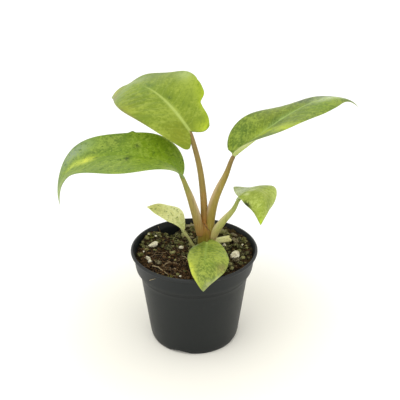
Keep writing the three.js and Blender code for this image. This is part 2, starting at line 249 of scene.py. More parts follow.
def layOver(tree, colour, other, share, *factors):
    # another colour over the first, by the share times the factors; sockets 6 and 7 are the two colours
    for factor in factors:
        share = times(tree, share, factor)
    return addNode(tree, "ShaderNodeMix", {0: share, 6: colour, 7: other}, data_type="RGBA").outputs[2]


def noiseOf(tree, vector, scale, detail=2.0, roughness=0.5, distortion=0.0):
    sockets = {"Vector": vector, "Scale": scale, "Detail": detail, "Roughness": roughness}
    return addNode(tree, "ShaderNodeTexNoise", {**sockets, "Distortion": distortion}).outputs[0]


def placeOf(tree):
    return addNode(tree, "ShaderNodeTexCoord").outputs["Object"]


def drawnUp(tree, place, share):  # the place with its height shrunk, so that a pattern on it runs upwards
    return addNode(tree, "ShaderNodeMapping", {0: place, 3: (1, 1, share)}).outputs[0]


def surfaceOf(tree):  # the piece's own map: across or round it, and along it
    surface = addNode(tree, "ShaderNodeUVMap", uv_map="surface").outputs[0]
    return addNode(tree, "ShaderNodeSeparateXYZ", {0: surface}).outputs[:2]


def fieldOf(tree, name, output="Fac"):
    return addNode(tree, "ShaderNodeAttribute", attribute_name=name).outputs[output]


def newGroup(name, colours, numbers, outputs=skinOutputs):
    group = bpy.data.node_groups.new(name, "ShaderNodeTree")
    sockets = [("INPUT", socket, "Color") for socket in colours]
    sockets += [("INPUT", socket, "Float") for socket in numbers]
    sockets += [("OUTPUT", socket, "Color" if socket == "Colour" else "Float") for socket in outputs]
    for way, socket, kind in sockets:
        group.interface.new_socket(name=socket, in_out=way, socket_type=f"NodeSocket{kind}")
    return group, addNode(group, "NodeGroupInput").outputs


def closeGroup(group, *values, outputs=skinOutputs):
    addNode(group, "NodeGroupOutput", dict(zip(outputs, values)))
    return group


def newMaterial(name, specular, roughness=0.5):
    material = bpy.data.materials.new(name)
    material.use_nodes = True
    shader = material.node_tree.nodes["Principled BSDF"]
    shader.inputs["Roughness"].default_value = roughness
    shader.inputs["Specular IOR Level"].default_value = specular
    return material, material.node_tree, shader


def dress(tree, shader, sockets, height, strength, depth):
    # feeds the shader, and its normal by a bump of the given strength and depth in millimetres
    for name, value in sockets.items():
        tree.links.new(value, shader.inputs[name])
    bumpSockets = {"Height": height, "Strength": strength, "Distance": depth * millimetre}
    bump = addNode(tree, "ShaderNodeBump", bumpSockets)
    tree.links.new(bump.outputs[0], shader.inputs["Normal"])


def groupMaterial(name, group, values, strength, depth, **finish):
    # a material that places a group with values of its own
    material, tree, shader = newMaterial(name, **finish)
    made = addNode(tree, "ShaderNodeGroup", values, node_tree=group).outputs
    skin = {"Base Color": made["Colour"]}
    if "Roughness" in made:
        skin["Roughness"] = made["Roughness"]
    dress(tree, shader, skin, made["Height"], strength, depth)
    return material


# Camera

camera = {
    "lens": 77.3, "sensor": 36, "across": 2.79, "distance": 400, "height": 72.6, "lookDown": 26.5,
}

eye = bpy.data.cameras.new("camera")
eye.lens = camera["lens"]
eye.sensor_width = camera["sensor"]
eye.clip_start = 0.01
eyePiece = bpy.data.objects.new("camera", eye)
bpy.context.scene.collection.objects.link(eyePiece)
lookDown = math.radians(camera["lookDown"])
back = camera["distance"] * np.array([0, -math.cos(lookDown), math.sin(lookDown)])
eyePiece.location = toRow(np.array([camera["across"], 0, camera["height"]]) + back)
eyePiece.rotation_euler = (math.pi / 2 - lookDown, 0, 0)
bpy.context.scene.camera = eyePiece

# Floor and light

studio = {
    "shadedFloorColour": (245, 242, 231), "farColour": (253, 253, 251), "fade": (40, 120), "sky": 1.15,
    "keyPower": 1.0, "keySize": 0.5, "keyFrom": (-180, -260, 520), "keyAt": (0, 0, 60), "floorSize": 6,
}


def makeFloor():  # a wide sheet of paper, with painted shade: darker and warmer round the pot
    bpy.ops.mesh.primitive_plane_add(size=studio["floorSize"])
    floor = bpy.context.object
    floor.name = "floor"
    material, tree, shader = newMaterial("floorPaper", specular=0.1, roughness=0.9)
    sockets = {0: placeOf(tree), 1: toRow((0, 0, 0))}
    fromPot = addNode(tree, "ShaderNodeVectorMath", sockets, operation="DISTANCE").outputs[1]
    far = easeOf(tree, fromPot, *(distance * millimetre for distance in studio["fade"]))
    # painted shade near the pot, fading out to the plain white paper further away
    colour = layOver(tree, rgba(studio["shadedFloorColour"]), rgba(studio["farColour"]), far)
    tree.links.new(colour, shader.inputs["Base Color"])
    floor.data.materials.append(material)


def makeLight():  # an even white sky and one soft lamp at the front left
    world = bpy.data.worlds.new("studio")
    world.use_nodes = True
    sky = world.node_tree.nodes["Background"].inputs
    sky[0].default_value = (1, 1, 1, 1)
    sky[1].default_value = studio["sky"]
    bpy.context.scene.world = world
    light = bpy.data.lights.new("key", "AREA")
    light.energy = studio["keyPower"]
    light.size = studio["keySize"]
    lamp = bpy.data.objects.new("key", light)
    bpy.context.scene.collection.objects.link(lamp)
    lamp.location = toRow(studio["keyFrom"])
    aim = toRow(studio["keyAt"]) - toRow(studio["keyFrom"])
    lamp.rotation_euler = (math.acos(-aim[2] / np.linalg.norm(aim)), 0, math.atan2(aim[0], -aim[1]) + math.pi)
    bpy.context.scene.view_settings.view_transform = "Standard"


makeFloor()
makeLight()
print("studio and camera ready")

# Pot

pot = {
    "rimRadius": 30.4, "height": 47.4, "footRadius": 21.2, "shoulderHeight": 35.1, "shoulderRadius": 26,
    "collarHeight": 37.9, "collarRadius": 28.1, "collarTop": 29.2, "lipHeight": 1.6, "lipWidth": 1.4,
    "wall": 1, "floorTop": 2.9, "floorUnderside": 1.7, "archWidth": 10.4, "archRise": 1.6,
    "archAngle": 251, "archCount": 4, "columns": 288, "colour": (22, 26, 26), "dust": (96, 95, 86),
    "lip": (78, 76, 72), "shade": (6, 7, 7), "roughness": 0.45,
}
potScales = {"cloud": 55, "scuffs": 420, "grain": 5200}  # cells of noise in a metre, as in the later lists


def roundedLine(corners, roundings, steps=6):
    # every corner becomes a short parabola that starts and ends the given distance from it
    corners = np.asarray(corners, float)
    line = [corners[:1]]
    t = np.linspace(0, 1, steps)[:, None]
    for k in range(1, len(corners) - 1):
        ways = corners[[k - 1, k + 1]] - corners[k]
        lengths = np.linalg.norm(ways, axis=1)
        reach = np.minimum(roundings[k], 0.45 * lengths)
        start, end = corners[k] + ways * (reach / lengths)[:, None]
        line.append((1 - t) ** 2 * start + 2 * t * (1 - t) * corners[k] + t**2 * end)
    line.append(corners[-1:])
    return np.vstack(line)


def potLine():
    # the wall's outline as radius and height: from under the floor, up the outside, over the lip and down the
    # inside; the third number is how far the corner is rounded
    rim, foot, height = pot["rimRadius"], pot["footRadius"], pot["height"]
    shoulder, collar = pot["shoulderRadius"], pot["collarRadius"]
    step, band, lip = pot["shoulderHeight"], pot["collarHeight"], height - pot["lipHeight"]
    lipInner = rim - pot["lipWidth"]
    top, wall = pot["collarTop"], pot["wall"]
    corners = [
        (0, pot["floorUnderside"], 0), (foot - 2.4, pot["floorUnderside"], 0.3), (foot - 2.2, 0, 0.2),
        (foot - 0.4, 0, 0.6), (foot + 0.4, 2, 1.6), (shoulder, step, 2.4), (collar - 0.3, band - 0.5, 1.6),
        (collar + 0.1, band + 0.8, 0.9), (top, lip, 0.3), (rim - 0.2, lip + 0.1, 0.4), (rim, lip + 0.9, 0.6),
        (rim - 0.4, height, 0.7), (lipInner + 0.2, height, 0.5), (lipInner, height - 0.8, 0.5),
        (top - wall, lip - 1, 0.5), (collar - wall, band + 0.5, 0.8), (shoulder - wall, step + 0.6, 0.8),
        (foot - 0.7, pot["floorTop"] + 0.9, 0.8), (foot - 1.7, pot["floorTop"], 0.5), (0, pot["floorTop"], 0),
    ]
    return roundedLine([c[:2] for c in corners], [c[2] for c in corners])


def potSurface():
    # the outline is turned round the axis; over each arch the foot is lifted to half an ellipse
    line = potLine()[1:-1]
    angle = turnAngles(pot["columns"])
    radius, height = line[:, :1], line[:, 1:]
    pitch = 2 * np.pi / pot["archCount"]
    fromArch = (angle - math.radians(pot["archAngle"]) + pitch / 2) % pitch - pitch / 2
    half = pot["archWidth"] / 2
    arch = pot["archRise"] * np.sqrt(np.maximum(1 - (pot["footRadius"] * fromArch / half) ** 2, 0))
    height = np.maximum(height, np.where(height < pot["floorUnderside"], arch, 0))
    return closedSkin(polar(radius, angle, height), (0, 0, pot["floorUnderside"]), (0, 0, pot["floorTop"]))


def makePotPlastic():
    # near-black plastic: dust in patches, most on the upper half, a painted highlight along the top of the
    # lip and a band of painted shade at the shoulder, which is rougher as well
    material, tree, shader = newMaterial("potPlastic", specular=0.26)
    place = placeOf(tree)
    height = addNode(tree, "ShaderNodeSeparateXYZ", {0: place}).outputs[2]

    def above(low, high):  # 0 below the one height and 1 above the other
        return easeOf(tree, height, low * millimetre, high * millimetre)

    cloud = noiseOf(tree, place, potScales["cloud"], 3, 0.6)
    scuffs = noiseOf(tree, drawnUp(tree, place, 0.35), potScales["scuffs"], 4, 0.7)
    grain = noiseOf(tree, place, potScales["grain"], 1)
    dusty = times(tree, easeOf(tree, scuffs, 0.58, 0.8), easeOf(tree, cloud, 0.4, 0.7))
    upper = plus(tree, above(20, 50), 0.25)
    colour = layOver(tree, rgba(pot["colour"]), rgba(pot["dust"]), dusty, upper, 0.3)
    # painted highlight: the top ring of the lip a little lighter
    colour = layOver(tree, colour, rgba(pot["lip"]), above(pot["height"] - 1.3, pot["height"] - 0.4), 0.14)
    # painted shade: the slope between the shoulder and the collar is darkened, and made rougher below
    overShoulder = above(pot["shoulderHeight"] - 0.5, pot["shoulderHeight"] + 0.5)
    band = times(tree, overShoulder, above(pot["collarHeight"] + 0.3, pot["collarHeight"] - 0.9))
    colour = layOver(tree, colour, rgba(pot["shade"]), band, 0.16)
    rough = plus(tree, times(tree, cloud, 0.16), pot["roughness"] - 0.08)
    rough = plus(tree, rough, times(tree, band, 0.22))
    relief = plus(tree, grain, times(tree, scuffs, 0.6))
    dress(tree, shader, {"Base Color": colour, "Roughness": rough}, relief, strength=0.1, depth=0.2)
    return material


addPiece("pot_shell", potSurface(), makePotPlastic(), ["pot"])
print("pot turned")

# Soil

soil = {
    "level": 44.6, "sink": 0.5, "rings": 110, "columns": 300, "edgeGap": 0.06, "bottomGap": 0.3, "algae": 0.6,
    "deep": (14, 10, 4), "brown": (62, 44, 20), "olive": (66, 61, 24), "grey": (106, 103, 60),
    "mounds": [  # how high, the place, and how widely it spreads across and in depth
        (-5.4, -12, 25, 30, 70), (1.4, 0, 24, np.inf, 110), (1.4, 26, 8, 110, 110), (0.9, 17, -17, 150, 150),
        (1.4, -22, 13, 40, 40), (0.8, 5, 2, 90, 90),
    ],
    "bare": (0.9, 21, -13, 55, 55), "grown": (0.6, -22, 12, 25, 25),
    "lumps": [(0.3, 3.5, 3), (0.16, 1.1, 4)],  # height, size and seed
}
soilScales = {"grit": 900, "lumps": 330, "wet": 70}


def soilHeight(x, y):
    # the level, a hollow at the back left, higher ground along the back, on the right, at the front right, on
    # the left and round the crown, all as bells, and two sizes of clods
    mounds = sum(lift * bell(x, y, *place) for lift, *place in soil["mounds"])
    clods = 0.45 * np.sin(0.9 * x + 0.4 * y + 1) * np.cos(0.8 * y - 0.5 * x)
    crumble = 0.35 * np.sin(2.1 * x - 0.7 * y) * np.sin(1.9 * y + 0.6 * x + 2)
    return soil["level"] + mounds + clods + crumble


def mossShare(x, y):  # how far the mix is grown over: most at the back and right, least at the front left
    slope = smoothStep(0.6 * x + 0.8 * y, -14, 8)
    bare, grown = (amount * bell(x, y, *place) for amount, *place in (soil["bare"], soil["grown"]))
    return np.clip(slope * (1 - bare) + grown, 0, 1)


def innerRadius(height):  # the pot's inner wall above its collar
    lean = (pot["collarTop"] - pot["collarRadius"]) / (pot["height"] - pot["lipHeight"] - pot["collarHeight"])
    return pot["collarRadius"] - pot["wall"] + lean * (height - pot["collarHeight"])


def soilSurface():
    # a disc in polar steps, lifted to soilHeight with finer lumps, then the filling's sides and flat bottom
    share = np.linspace(0, 1, soil["rings"] + 1)[1:, None] ** 0.9
    angle = turnAngles(soil["columns"])
    edge = innerRadius(soil["level"]) - soil["edgeGap"]
    flat = polar(edge * share, angle)
    x, y = flat[..., 0], flat[..., 1]
    lumps = sum(lift * lumpyNoise(flat, size, seed) for lift, size, seed in soil["lumps"])
    lumps[-1] = 0
    height = soilHeight(x, y) - soil["sink"] + lumps
    atWall = (innerRadius(height) - soil["edgeGap"]) / edge
    stretch = np.where(share > 0.8, mix(1, atWall, smoothStep(share, 0.8, 1)), 1)
    top = np.stack([x * stretch, y * stretch, height], axis=-1)
    bottom = pot["floorTop"] + soil["bottomGap"]
    sides = np.array([
        [innerRadius(pot["collarHeight"]) - 0.3, pot["collarHeight"] + 0.5],
        [pot["shoulderRadius"] - 1.3, pot["shoulderHeight"] + 0.4],
        [pot["footRadius"] - 1.3, pot["floorTop"] + 1],
        [pot["footRadius"] - 2.1, bottom],
    ])
    filling = polar(sides[:, :1], angle, sides[:, 1:])
    centre = (0, 0, soilHeight(0, 0) - soil["sink"])
    return closedSkin(np.concatenate([top, filling]), centre, (0, 0, bottom))


def makeSoilMaterial():
    # damp brown mix: dark hollows, brown bark, a film of algae where the mix stays wet, and a gritty height
    material, tree, shader = newMaterial("dampSoil", specular=0.12)
    place = placeOf(tree)
    grit = noiseOf(tree, place, soilScales["grit"], 4, 0.65)
    lumps = noiseOf(tree, place, soilScales["lumps"], 3, 0.6, 0.6)
    wet = noiseOf(tree, place, soilScales["wet"], 3, 0.55)
    algae = times(tree, easeOf(tree, wet, 0.35, 0.6), times(tree, fieldOf(tree, "moss"), soil["algae"]))
    colour = layOver(tree, rgba(soil["deep"]), rgba(soil["brown"]), easeOf(tree, lumps, 0.38, 0.62))
    colour = layOver(tree, colour, rgba(soil["olive"]), algae, easeOf(tree, grit, 0.35, 0.6))
    colour = layOver(tree, colour, rgba(soil["grey"]), algae, easeOf(tree, grit, 0.58, 0.72))
    rough = plus(tree, times(tree, grit, 0.3), 0.62)
    relief = plus(tree, grit, times(tree, lumps, 1.5))
    dress(tree, shader, {"Base Color": colour, "Roughness": rough}, relief, strength=0.8, depth=0.4)
    return material


soilShape = soilSurface()
soilMoss = mossShare(*soilShape[0][:, :2].T)
addPiece("soil_bed", soilShape, makeSoilMaterial(), ["soil"], fields={"moss": soilMoss})
print("soil filled")

# Crumbs of bark and moss

crumbs = {
    "kinds": [  # the third is laid one by one: place, size and shade
        {
            "piece": "bark_crumbs", "finish": "barkCrumb", "roughness": 0.8,
            "colours": [(14, 9, 4), (58, 40, 22), (104, 78, 46)], "levels": 0, "count": 1500,
            "size": (0.35, 1.15), "flat": 0.7, "lift": (-0.1, 0.55), "share": (1, 0.4), "seed": 11,
        },
        {
            "piece": "mossy_lumps", "finish": "mossyLump", "roughness": 0.85,
            "colours": [(26, 24, 10), (80, 79, 38), (146, 143, 94)], "levels": 1, "count": 430,
            "size": (0.65, 1.9), "flat": 0.75, "lift": (-0.1, 0.55), "share": (0.05, 1), "seed": 12,
        },
        {
            "piece": "bark_flakes", "finish": "barkFlake", "roughness": 0.85,
            "colours": [(36, 27, 15), (88, 78, 52), (142, 134, 104)], "levels": 1,
            "flat": 0.38, "lift": (0.5, 0.7), "seed": 13,
            "laid": [
                (20, 7.4, 2.5, 0.8), (20, -10.6, 2.8, 0.35), (-1.9, 23.8, 2.1, 0.95),
                (-16.7, -10.9, 1.9, 0.4), (-22.6, 4.6, 1.9, 0.45), (-1.9, 12.6, 1.8, 0.85),
                (19.5, 14, 1.9, 0.85), (14.6, 18.9, 1.6, 0.9),
            ],
        },
    ],
    "keepFrom": [  # the middle and radius of what stands clear of crumbs: the crown and four perlite grains
        ((5.4, 3), 4.4), ((-19.8, 6), 2.2), ((19.6, -4.7), 2.6), ((-21.9, -5.6), 1.2), ((-20.7, -9.4), 1.1),
    ],
    "dents": (0.68, 1.12), "stretch": (0.6, 1.25), "edgeGap": 0.3, "grit": 1300,
}


def roundTemplate(levels):  # a sphere of twenty faces, each cut in four for every level
    golden = (1 + 5**0.5) / 2
    corners = [(0, a, b * golden) for a in (-1, 1) for b in (-1, 1)]
    points = np.array([np.roll(c, k) for k in range(3) for c in corners], float)
    near = np.linalg.norm(points[:, None] - points[None], axis=-1) < 2.1
    faces = [
        (i, j, k)
        for i in range(12) for j in range(i + 1, 12) for k in range(j + 1, 12)
        if near[i, j] and near[j, k] and near[i, k]
    ]
    faces = np.array(faces)
    a, b, c = (points[faces[:, k]] for k in range(3))
    turned = np.sum(a * np.cross(b, c), axis=1) < 0
    faces[turned] = faces[turned][:, ::-1]
    for _ in range(levels):
        edges = np.sort(np.vstack([faces[:, [0, 1]], faces[:, [1, 2]], faces[:, [2, 0]]]), axis=1)
        edges, index = np.unique(edges, axis=0, return_inverse=True)
        middle = (len(points) + index.reshape(3, -1)).T
        points = np.vstack([points, points[edges].mean(axis=1)])
        ab, bc, ca = middle.T
        i, j, k = faces.T
        parts = [(i, ab, ca), (ab, j, bc), (ca, bc, k), (ab, bc, ca)]
        faces = np.vstack([np.stack(part, axis=-1) for part in parts])
    return unit(points), faces


def randomTurns(random, count):  # rotation matrices from unit quaternions
    w, x, y, z = unit(random.normal(size=(count, 4))).T
    rows = [
        [1 - 2 * (y * y + z * z), 2 * (x * y - w * z), 2 * (x * z + w * y)],
        [2 * (x * y + w * z), 1 - 2 * (x * x + z * z), 2 * (y * z - w * x)],
        [2 * (x * z - w * y), 2 * (y * z + w * x), 1 - 2 * (x * x + y * y)],
    ]
    return np.moveaxis(np.array(rows), 2, 0)


def scatterPlaces(kind, random):
    # random places and sizes, thinned out by the moss and clear of what stands there; three times as many are
    # drawn as are kept
    edge = innerRadius(soil["level"]) - crumbs["edgeGap"]
    draws = 3 * kind["count"]
    radius = edge * np.sqrt(random.uniform(0, 1, draws))
    place = polar(radius, random.uniform(0, 2 * np.pi, draws))
    size = mix(*kind["size"], random.uniform(0, 1, draws) ** 2)
    clear = radius + size < edge
    clear &= random.uniform(0, 1, draws) < mix(*kind["share"], mossShare(*place.T))
    for centre, gap in crumbs["keepFrom"]:
        clear &= np.linalg.norm(place - centre, axis=1) > gap + 0.5 * size
    return place[clear][: kind["count"]], size[clear][: kind["count"]]


def scatterCrumbs(kind):
    # copies of one dented ball, each stretched and turned at random, lying half sunk on the soil
    random = np.random.default_rng(kind["seed"])
    ball, faces = roundTemplate(kind["levels"])
    if "laid" in kind:
        x, y, size, shade = np.array(kind["laid"]).T
        place = np.stack([x, y], axis=-1)
    else:
        place, size = scatterPlaces(kind, random)
    count = len(place)
    dents = random.uniform(*crumbs["dents"], (count, len(ball), 1))
    stretch = size[:, None] * random.uniform(*crumbs["stretch"], (count, 3))
    lumps = np.einsum("nij,nvj->nvi", randomTurns(random, count), ball[None] * dents * stretch[:, None])
    lumps[..., 2] *= kind["flat"]
    height = soilHeight(*place.T) - soil["sink"] + random.uniform(*kind["lift"], count) * size
    points = lumps + np.concatenate([place, height[:, None]], axis=1)[:, None]
    triangles = faces[None] + len(ball) * np.arange(count)[:, None, None]
    if "laid" not in kind:
        shade = random.uniform(0, 1, count)
    return (points.reshape(-1, 3), noQuads, triangles.reshape(-1, 3)), np.repeat(shade, len(ball))


def makeCrumbGroup():
    # each crumb has its own shade between three colours, broken up by grit, which is the height as well
    outputs = ("Colour", "Height")
    group, given = newGroup("crumbGrit", ("Dark", "Middle", "Light"), (), outputs)
    shade = fieldOf(group, "shade")
    grit = noiseOf(group, placeOf(group), crumbs["grit"], 4, 0.7)
    colour = layOver(group, given["Dark"], given["Middle"], easeOf(group, shade, 0.15, 0.7))
    colour = layOver(group, colour, given["Light"], easeOf(group, shade, 0.75, 1.0))
    colour = layOver(group, colour, given["Light"], easeOf(group, grit, 0.45, 0.7))
    colour = layOver(group, colour, given["Dark"], easeOf(group, grit, 0.45, 0.25))
    return closeGroup(group, colour, grit, outputs=outputs)


crumbGrit = makeCrumbGroup()


def addLoose(kind, shape, shade):  # a piece of many small parts in the kind's three colours
    values = dict(zip(("Dark", "Middle", "Light"), map(rgba, kind["colours"])))
    finish = {"strength": 0.9, "depth": 0.3, "specular": 0.12, "roughness": kind["roughness"]}
    material = groupMaterial(kind["finish"], crumbGrit, values, **finish)
    addPiece(kind["piece"], shape, material, fields={"shade": shade})


for kind in crumbs["kinds"]:
    addLoose(kind, *scatterCrumbs(kind))
print("crumbs scattered")

# Coir fibres and rootlets

fibres = {
    "piece": "coir_fibres", "finish": "coirFibre", "colours": [(46, 30, 16), (98, 70, 42), (188, 172, 134)],
    "roughness": 0.75, "count": 110, "length": (3, 9), "radius": 0.09, "bow": 0.9, "seed": 21, "steps": 12,
    "sides": 5, "startWithin": 24, "endWithin": 25.5, "clearOfCrown": 6,
    "laid": [  # ends of the strands that show most, radius, sideways bow and shade
        ((-19.6, -13.2), (-12, -20.6), 0.27, 0.9, 0.88), ((-14.4, -12.4), (-6.4, -8.3), 0.26, 0.2, 0.85),
        ((-24, -5.5), (-15.5, -1.5), 0.17, -1.2, 0.8), ((-15, -9.5), (-6.5, -12.5), 0.15, 0.8, 0.6),
        ((-9.5, -15.5), (-2.8, -20.6), 0.18, -0.7, 0.75), ((-21.4, -1.4), (-12.6, -1.4), 0.13, 0.6, 0.8),
        ((-16.5, -17), (-9, -15.5), 0.13, -0.5, 0.6), ((-6, -4.5), (-2.5, -8), 0.15, 0.8, 0.9),
    ],
    "hung": [  # a root on the inner wall and a thread caught on the collar, as points, radius and shade
        ([(-18.2, 21.4, 47.1), (-17.4, 21.5, 44.6), (-16.4, 20.8, 41.4)], 0.16, 0.8),
        ([(-20.5, -20.3, 41.4), (-19.4, -21.6, 42.5), (-17.6, -23.3, 44.1)], 0.1, 1),
    ],
}
tufts = {
    "piece": "moss_tufts", "finish": "mossThread", "colours": [(70, 72, 20), (128, 128, 50), (176, 172, 90)],
    "roughness": 0.8, "at": [(-10.5, -23.4), (-21.5, 12), (-17.2, 9.6), (13.5, -17.5)], "threads": 26,
    "spread": 1.3, "length": (0.7, 1.7), "radius": 0.09, "seed": 31, "steps": 5, "sides": 4,
}


def joinStrands(strands, sides):
    # thin round tubes closed at both ends, each along its own path with its own shade
    shapes, shades = [], []
    for path, thickness, shade in strands:
        along = np.linspace(0, 1, len(path))[:, None]
        taper = thickness * (1 - 0.5 * along**2) * np.ones((1, sides))
        shapes.append(facingOut(*closedTube(path, (0.62, 0.5, 0.6), taper)))
        shades.append(np.full(len(shapes[-1][0]), shade))
    return joinShapes(shapes), np.concatenate(shades)


def layFibres():
    # each strand is an arc on the soil between two points; most lie at the front left
    random = np.random.default_rng(fibres["seed"])
    count = fibres["count"]
    radius = fibres["startWithin"] * np.sqrt(random.uniform(0, 1, count))
    start = polar(radius, random.uniform(0, 2 * np.pi, count))
    way = random.uniform(0, 2 * np.pi, count)
    end = start + random.uniform(*fibres["length"], count)[:, None] * polar(1, way)
    inside = np.linalg.norm(end, axis=1) < fibres["endWithin"]
    fromCrown = np.linalg.norm((start + end) / 2 - crumbs["keepFrom"][0][0], axis=1)
    inside &= fromCrown > fibres["clearOfCrown"]
    inside &= random.uniform(0, 1, count) > 0.75 * mossShare(*start.T)
    low = (0.6 * fibres["radius"], -fibres["bow"], 0)
    high = (1.4 * fibres["radius"], fibres["bow"], 0.85)
    laid = list(zip(start[inside], end[inside], *random.uniform(low, high, (inside.sum(), 3)).T))
    t = np.linspace(0, 1, fibres["steps"])[:, None]
    strands = []
    for first, second, thickness, bow, shade in laid + fibres["laid"]:
        first, second = np.asarray(first, float), np.asarray(second, float)
        across = (second - first)[::-1] * (-1, 1) / np.linalg.norm(second - first)
        flat = mix(first, second, t) + across * (bow * np.sin(np.pi * t) + 0.14 * np.sin(7 * t + bow))
        lift = soilHeight(*flat.T) + 0.25 + 0.35 * np.sin(np.pi * t[:, 0]) * random.uniform(0, 1)
        strands.append((np.concatenate([flat, lift[:, None]], axis=1), thickness, shade))
    for points, thickness, shade in fibres["hung"]:
        strands.append((smoothPath(points, fibres["steps"]), thickness, shade))
    return joinStrands(strands, fibres["sides"])


def growTufts():
    # short bent threads that stand out of a few cushions of moss
    random = np.random.default_rng(tufts["seed"])
    s = np.linspace(0, 1, tufts["steps"])[:, None]
    strands = []
    for middle in tufts["at"]:
        for _ in range(tufts["threads"]):
            root = middle + 0.5 * tufts["spread"] * random.normal(size=2)
            way = unit(np.append(random.normal(size=2), random.uniform(0.3, 1.2)))
            bend = random.normal(size=3) * 0.25
            foot = (*root, soilHeight(*root) - 0.2)
            path = foot + random.uniform(*tufts["length"]) * (way * s + bend * s**2)
            strands.append((path, tufts["radius"], random.uniform(0, 1)))
    return joinStrands(strands, tufts["sides"])


addLoose(fibres, *layFibres())
addLoose(tufts, *growTufts())
print("fibres and moss laid")

# Perlite

perlite = {
    "grains": [  # middle, half sizes and turn in degrees
        ((-19.8, 6), (2.4, 1.5, 1.5), 30), ((-21.9, -5.6), (1.2, 1.1, 1.1), 0),
        ((-20.7, -9.4), (1, 1, 0.9), 40), ((-6.4, 3.8), (1.2, 0.8, 0.8), -20),
        ((19.6, -4.7), (2.5, 2, 2), 60), ((14.6, 4.4), (1, 1, 1), 10),
    ],
    "bits": [(-24.2, 1.3), (23.4, 4.8), (-22.4, 13.4), (14.9, 18.2), (-18.9, 12.2), (0, 19.4), (-6.1, -23.2)],
    "bitSize": (0.55, 0.5, 0.45), "planes": 16, "nearest": 0.66, "sharpness": 20, "pits": 0.08,
    "seed": 80, "bitSeed": 60, "colour": (228, 222, 194), "stain": (180, 168, 136),
}
perliteScales = {"stains": 420, "pits": 2600}


def perliteGrain(at, size, turn, seed, levels=4):
    # a ball cut by random planes into a blunt many-sided lump with fine pits, stretched to its half sizes;
    # the radius is the planes' own radii joined as a power mean, so that the edges stay a little round
    random = np.random.default_rng(seed)
    ball, faces = roundTemplate(levels)
    count, power = perlite["planes"], perlite["sharpness"]
    planes = unit(random.normal(size=(count, 3))) / random.uniform(perlite["nearest"], 1, (count, 1))
    radius = np.sum(np.maximum(ball @ planes.T, 0) ** power, axis=1) ** (-1 / power)
    radius = np.minimum(radius, 1.1) + perlite["pits"] * lumpyNoise(ball * 1.3, 0.5, seed + 1)
    grain = ball * radius[:, None] * size
    cosine, sine = math.cos(math.radians(turn)), math.sin(math.radians(turn))
    turned = np.array([[cosine, -sine, 0], [sine, cosine, 0], [0, 0, 1]])
    middle = (*at, soilHeight(*at) + 0.35 * size[2])
    return grain @ turned.T + middle, noQuads, faces


def makePerliteMaterial():  # off-white foam, darker in its stains and pits
    material, tree, shader = newMaterial("perliteFoam", specular=0.25, roughness=0.9)
    place = placeOf(tree)
    stain = rgba(perlite["stain"])
    stains = noiseOf(tree, place, perliteScales["stains"], 3, 0.6)
    pits = noiseOf(tree, place, perliteScales["pits"], 3, 0.65)
    colour = layOver(tree, rgba(perlite["colour"]), stain, easeOf(tree, stains, 0.5, 0.75))
    colour = layOver(tree, colour, stain, easeOf(tree, pits, 0.42, 0.3))
    dress(tree, shader, {"Base Color": colour}, pits, strength=0.7, depth=0.2)
    return material


perliteMaterial = makePerliteMaterial()
for index, (at, size, turn) in enumerate(perlite["grains"]):
    grain = perliteGrain(at, size, turn, perlite["seed"] + index)
    addPiece(f"perlite_grain_{index + 1}", grain, perliteMaterial, [f"perlite_{index + 1}"])
bits = [
    perliteGrain(at, perlite["bitSize"], 0, perlite["bitSeed"] + index, levels=2)
    for index, at in enumerate(perlite["bits"])
]
addPiece("perlite_bits", joinShapes(bits), perliteMaterial)
print("perlite placed")

# Crown and petioles. A wing is: the angle round the stalk where it stands, its height as a share of the
# radius, and its colour. Colours run from root to blade, and a grid is the rows along and the columns round.

stems = {
    "top": {
        "path": [(4.8, 2.8, 54), (4.8, 3, 62), (4.3, 3, 74), (2.8, 3, 87), (0.3, 3, 98)],
        "radius": (1.9, 1.1), "colours": [(158, 104, 42), (142, 122, 58), (146, 122, 74)],
    },
    "left": {
        "path": [(3.2, 1.6, 54), (1.4, 0, 61.7), (-0.6, -2, 70.5), (-2.9, -4.3, 79.5)],
        "radius": (2.2, 1), "colours": [(156, 118, 60), (154, 138, 76), (134, 138, 56)],
        "wing": (0, 0.35, (210, 186, 152)),
    },
    "right": {
        "path": [(7, 2.4, 53), (8.2, 2, 63.5), (10.3, 1.2, 73), (14.4, 0, 84.5)], "radius": (2.2, 1),
        "colours": [(144, 126, 50), (148, 130, 54), (126, 102, 62)], "wing": (180, 0.5, (214, 188, 154)),
    },
    "small_right": {
        "path": [(7.5, 2.4, 49), (9.8, 1, 54.6), (14, -1.2, 62.3), (18.2, -2.7, 68.8)],
        "radius": (2.2, 0.8), "colours": [(186, 166, 104), (166, 168, 92), (136, 150, 70)],
        "wing": (180, 0.25, (212, 200, 152)),
    },
    "small_left": {
        "path": [(4, 2.4, 43.5), (0.6, 2.1, 45.8), (-2.6, 2.2, 51)], "radius": (0.7, 0.65),
        "colours": [(150, 142, 84), (164, 164, 100), (174, 180, 108)],
    },
    "front": {
        "path": [(5.3, 2, 45), (5.5, -1.8, 47.4), (5.8, -4.6, 50.2)], "radius": (1.4, 1),
        "facing": (1, 0, 0), "colours": [(140, 132, 60), (146, 158, 70), (150, 170, 80)],
    },
}
crown = {
    "base": (5.8, 3.2, 36), "top": (5.4, 2.6, 59.5), "radius": 3.2, "grid": (80, 96), "lines": 0.5,
    "lipAngle": 41, "colours": [(112, 106, 40), (118, 108, 26), (140, 100, 32)],
}
stub = {
    "path": [(6, 3.2, 47.2), (10, 4.6, 47.9), (14, 5.8, 48.2), (17.4, 7, 48.3)], "radius": (1.5, 1.6),
    "grid": (60, 40), "lines": 0.4, "colours": [(160, 160, 92), (212, 212, 144), (206, 200, 130)],
}
stemBuild = {"grid": (90, 28), "lines": 0.35, "joined": 0.93}  # joined is the share where it meets the blade
stemTones = {  # the skin's lines and its crease, as linear values
    "dark": (0.08, 0.04, 0.01, 1), "pale": (0.5, 0.4, 0.18, 1), "crease": (0.06, 0.03, 0.01, 1),
}
stemScales = {"lines": 2400, "patches": 160}
noWing = (0, 0, (0, 0, 0))  # for a stalk without one


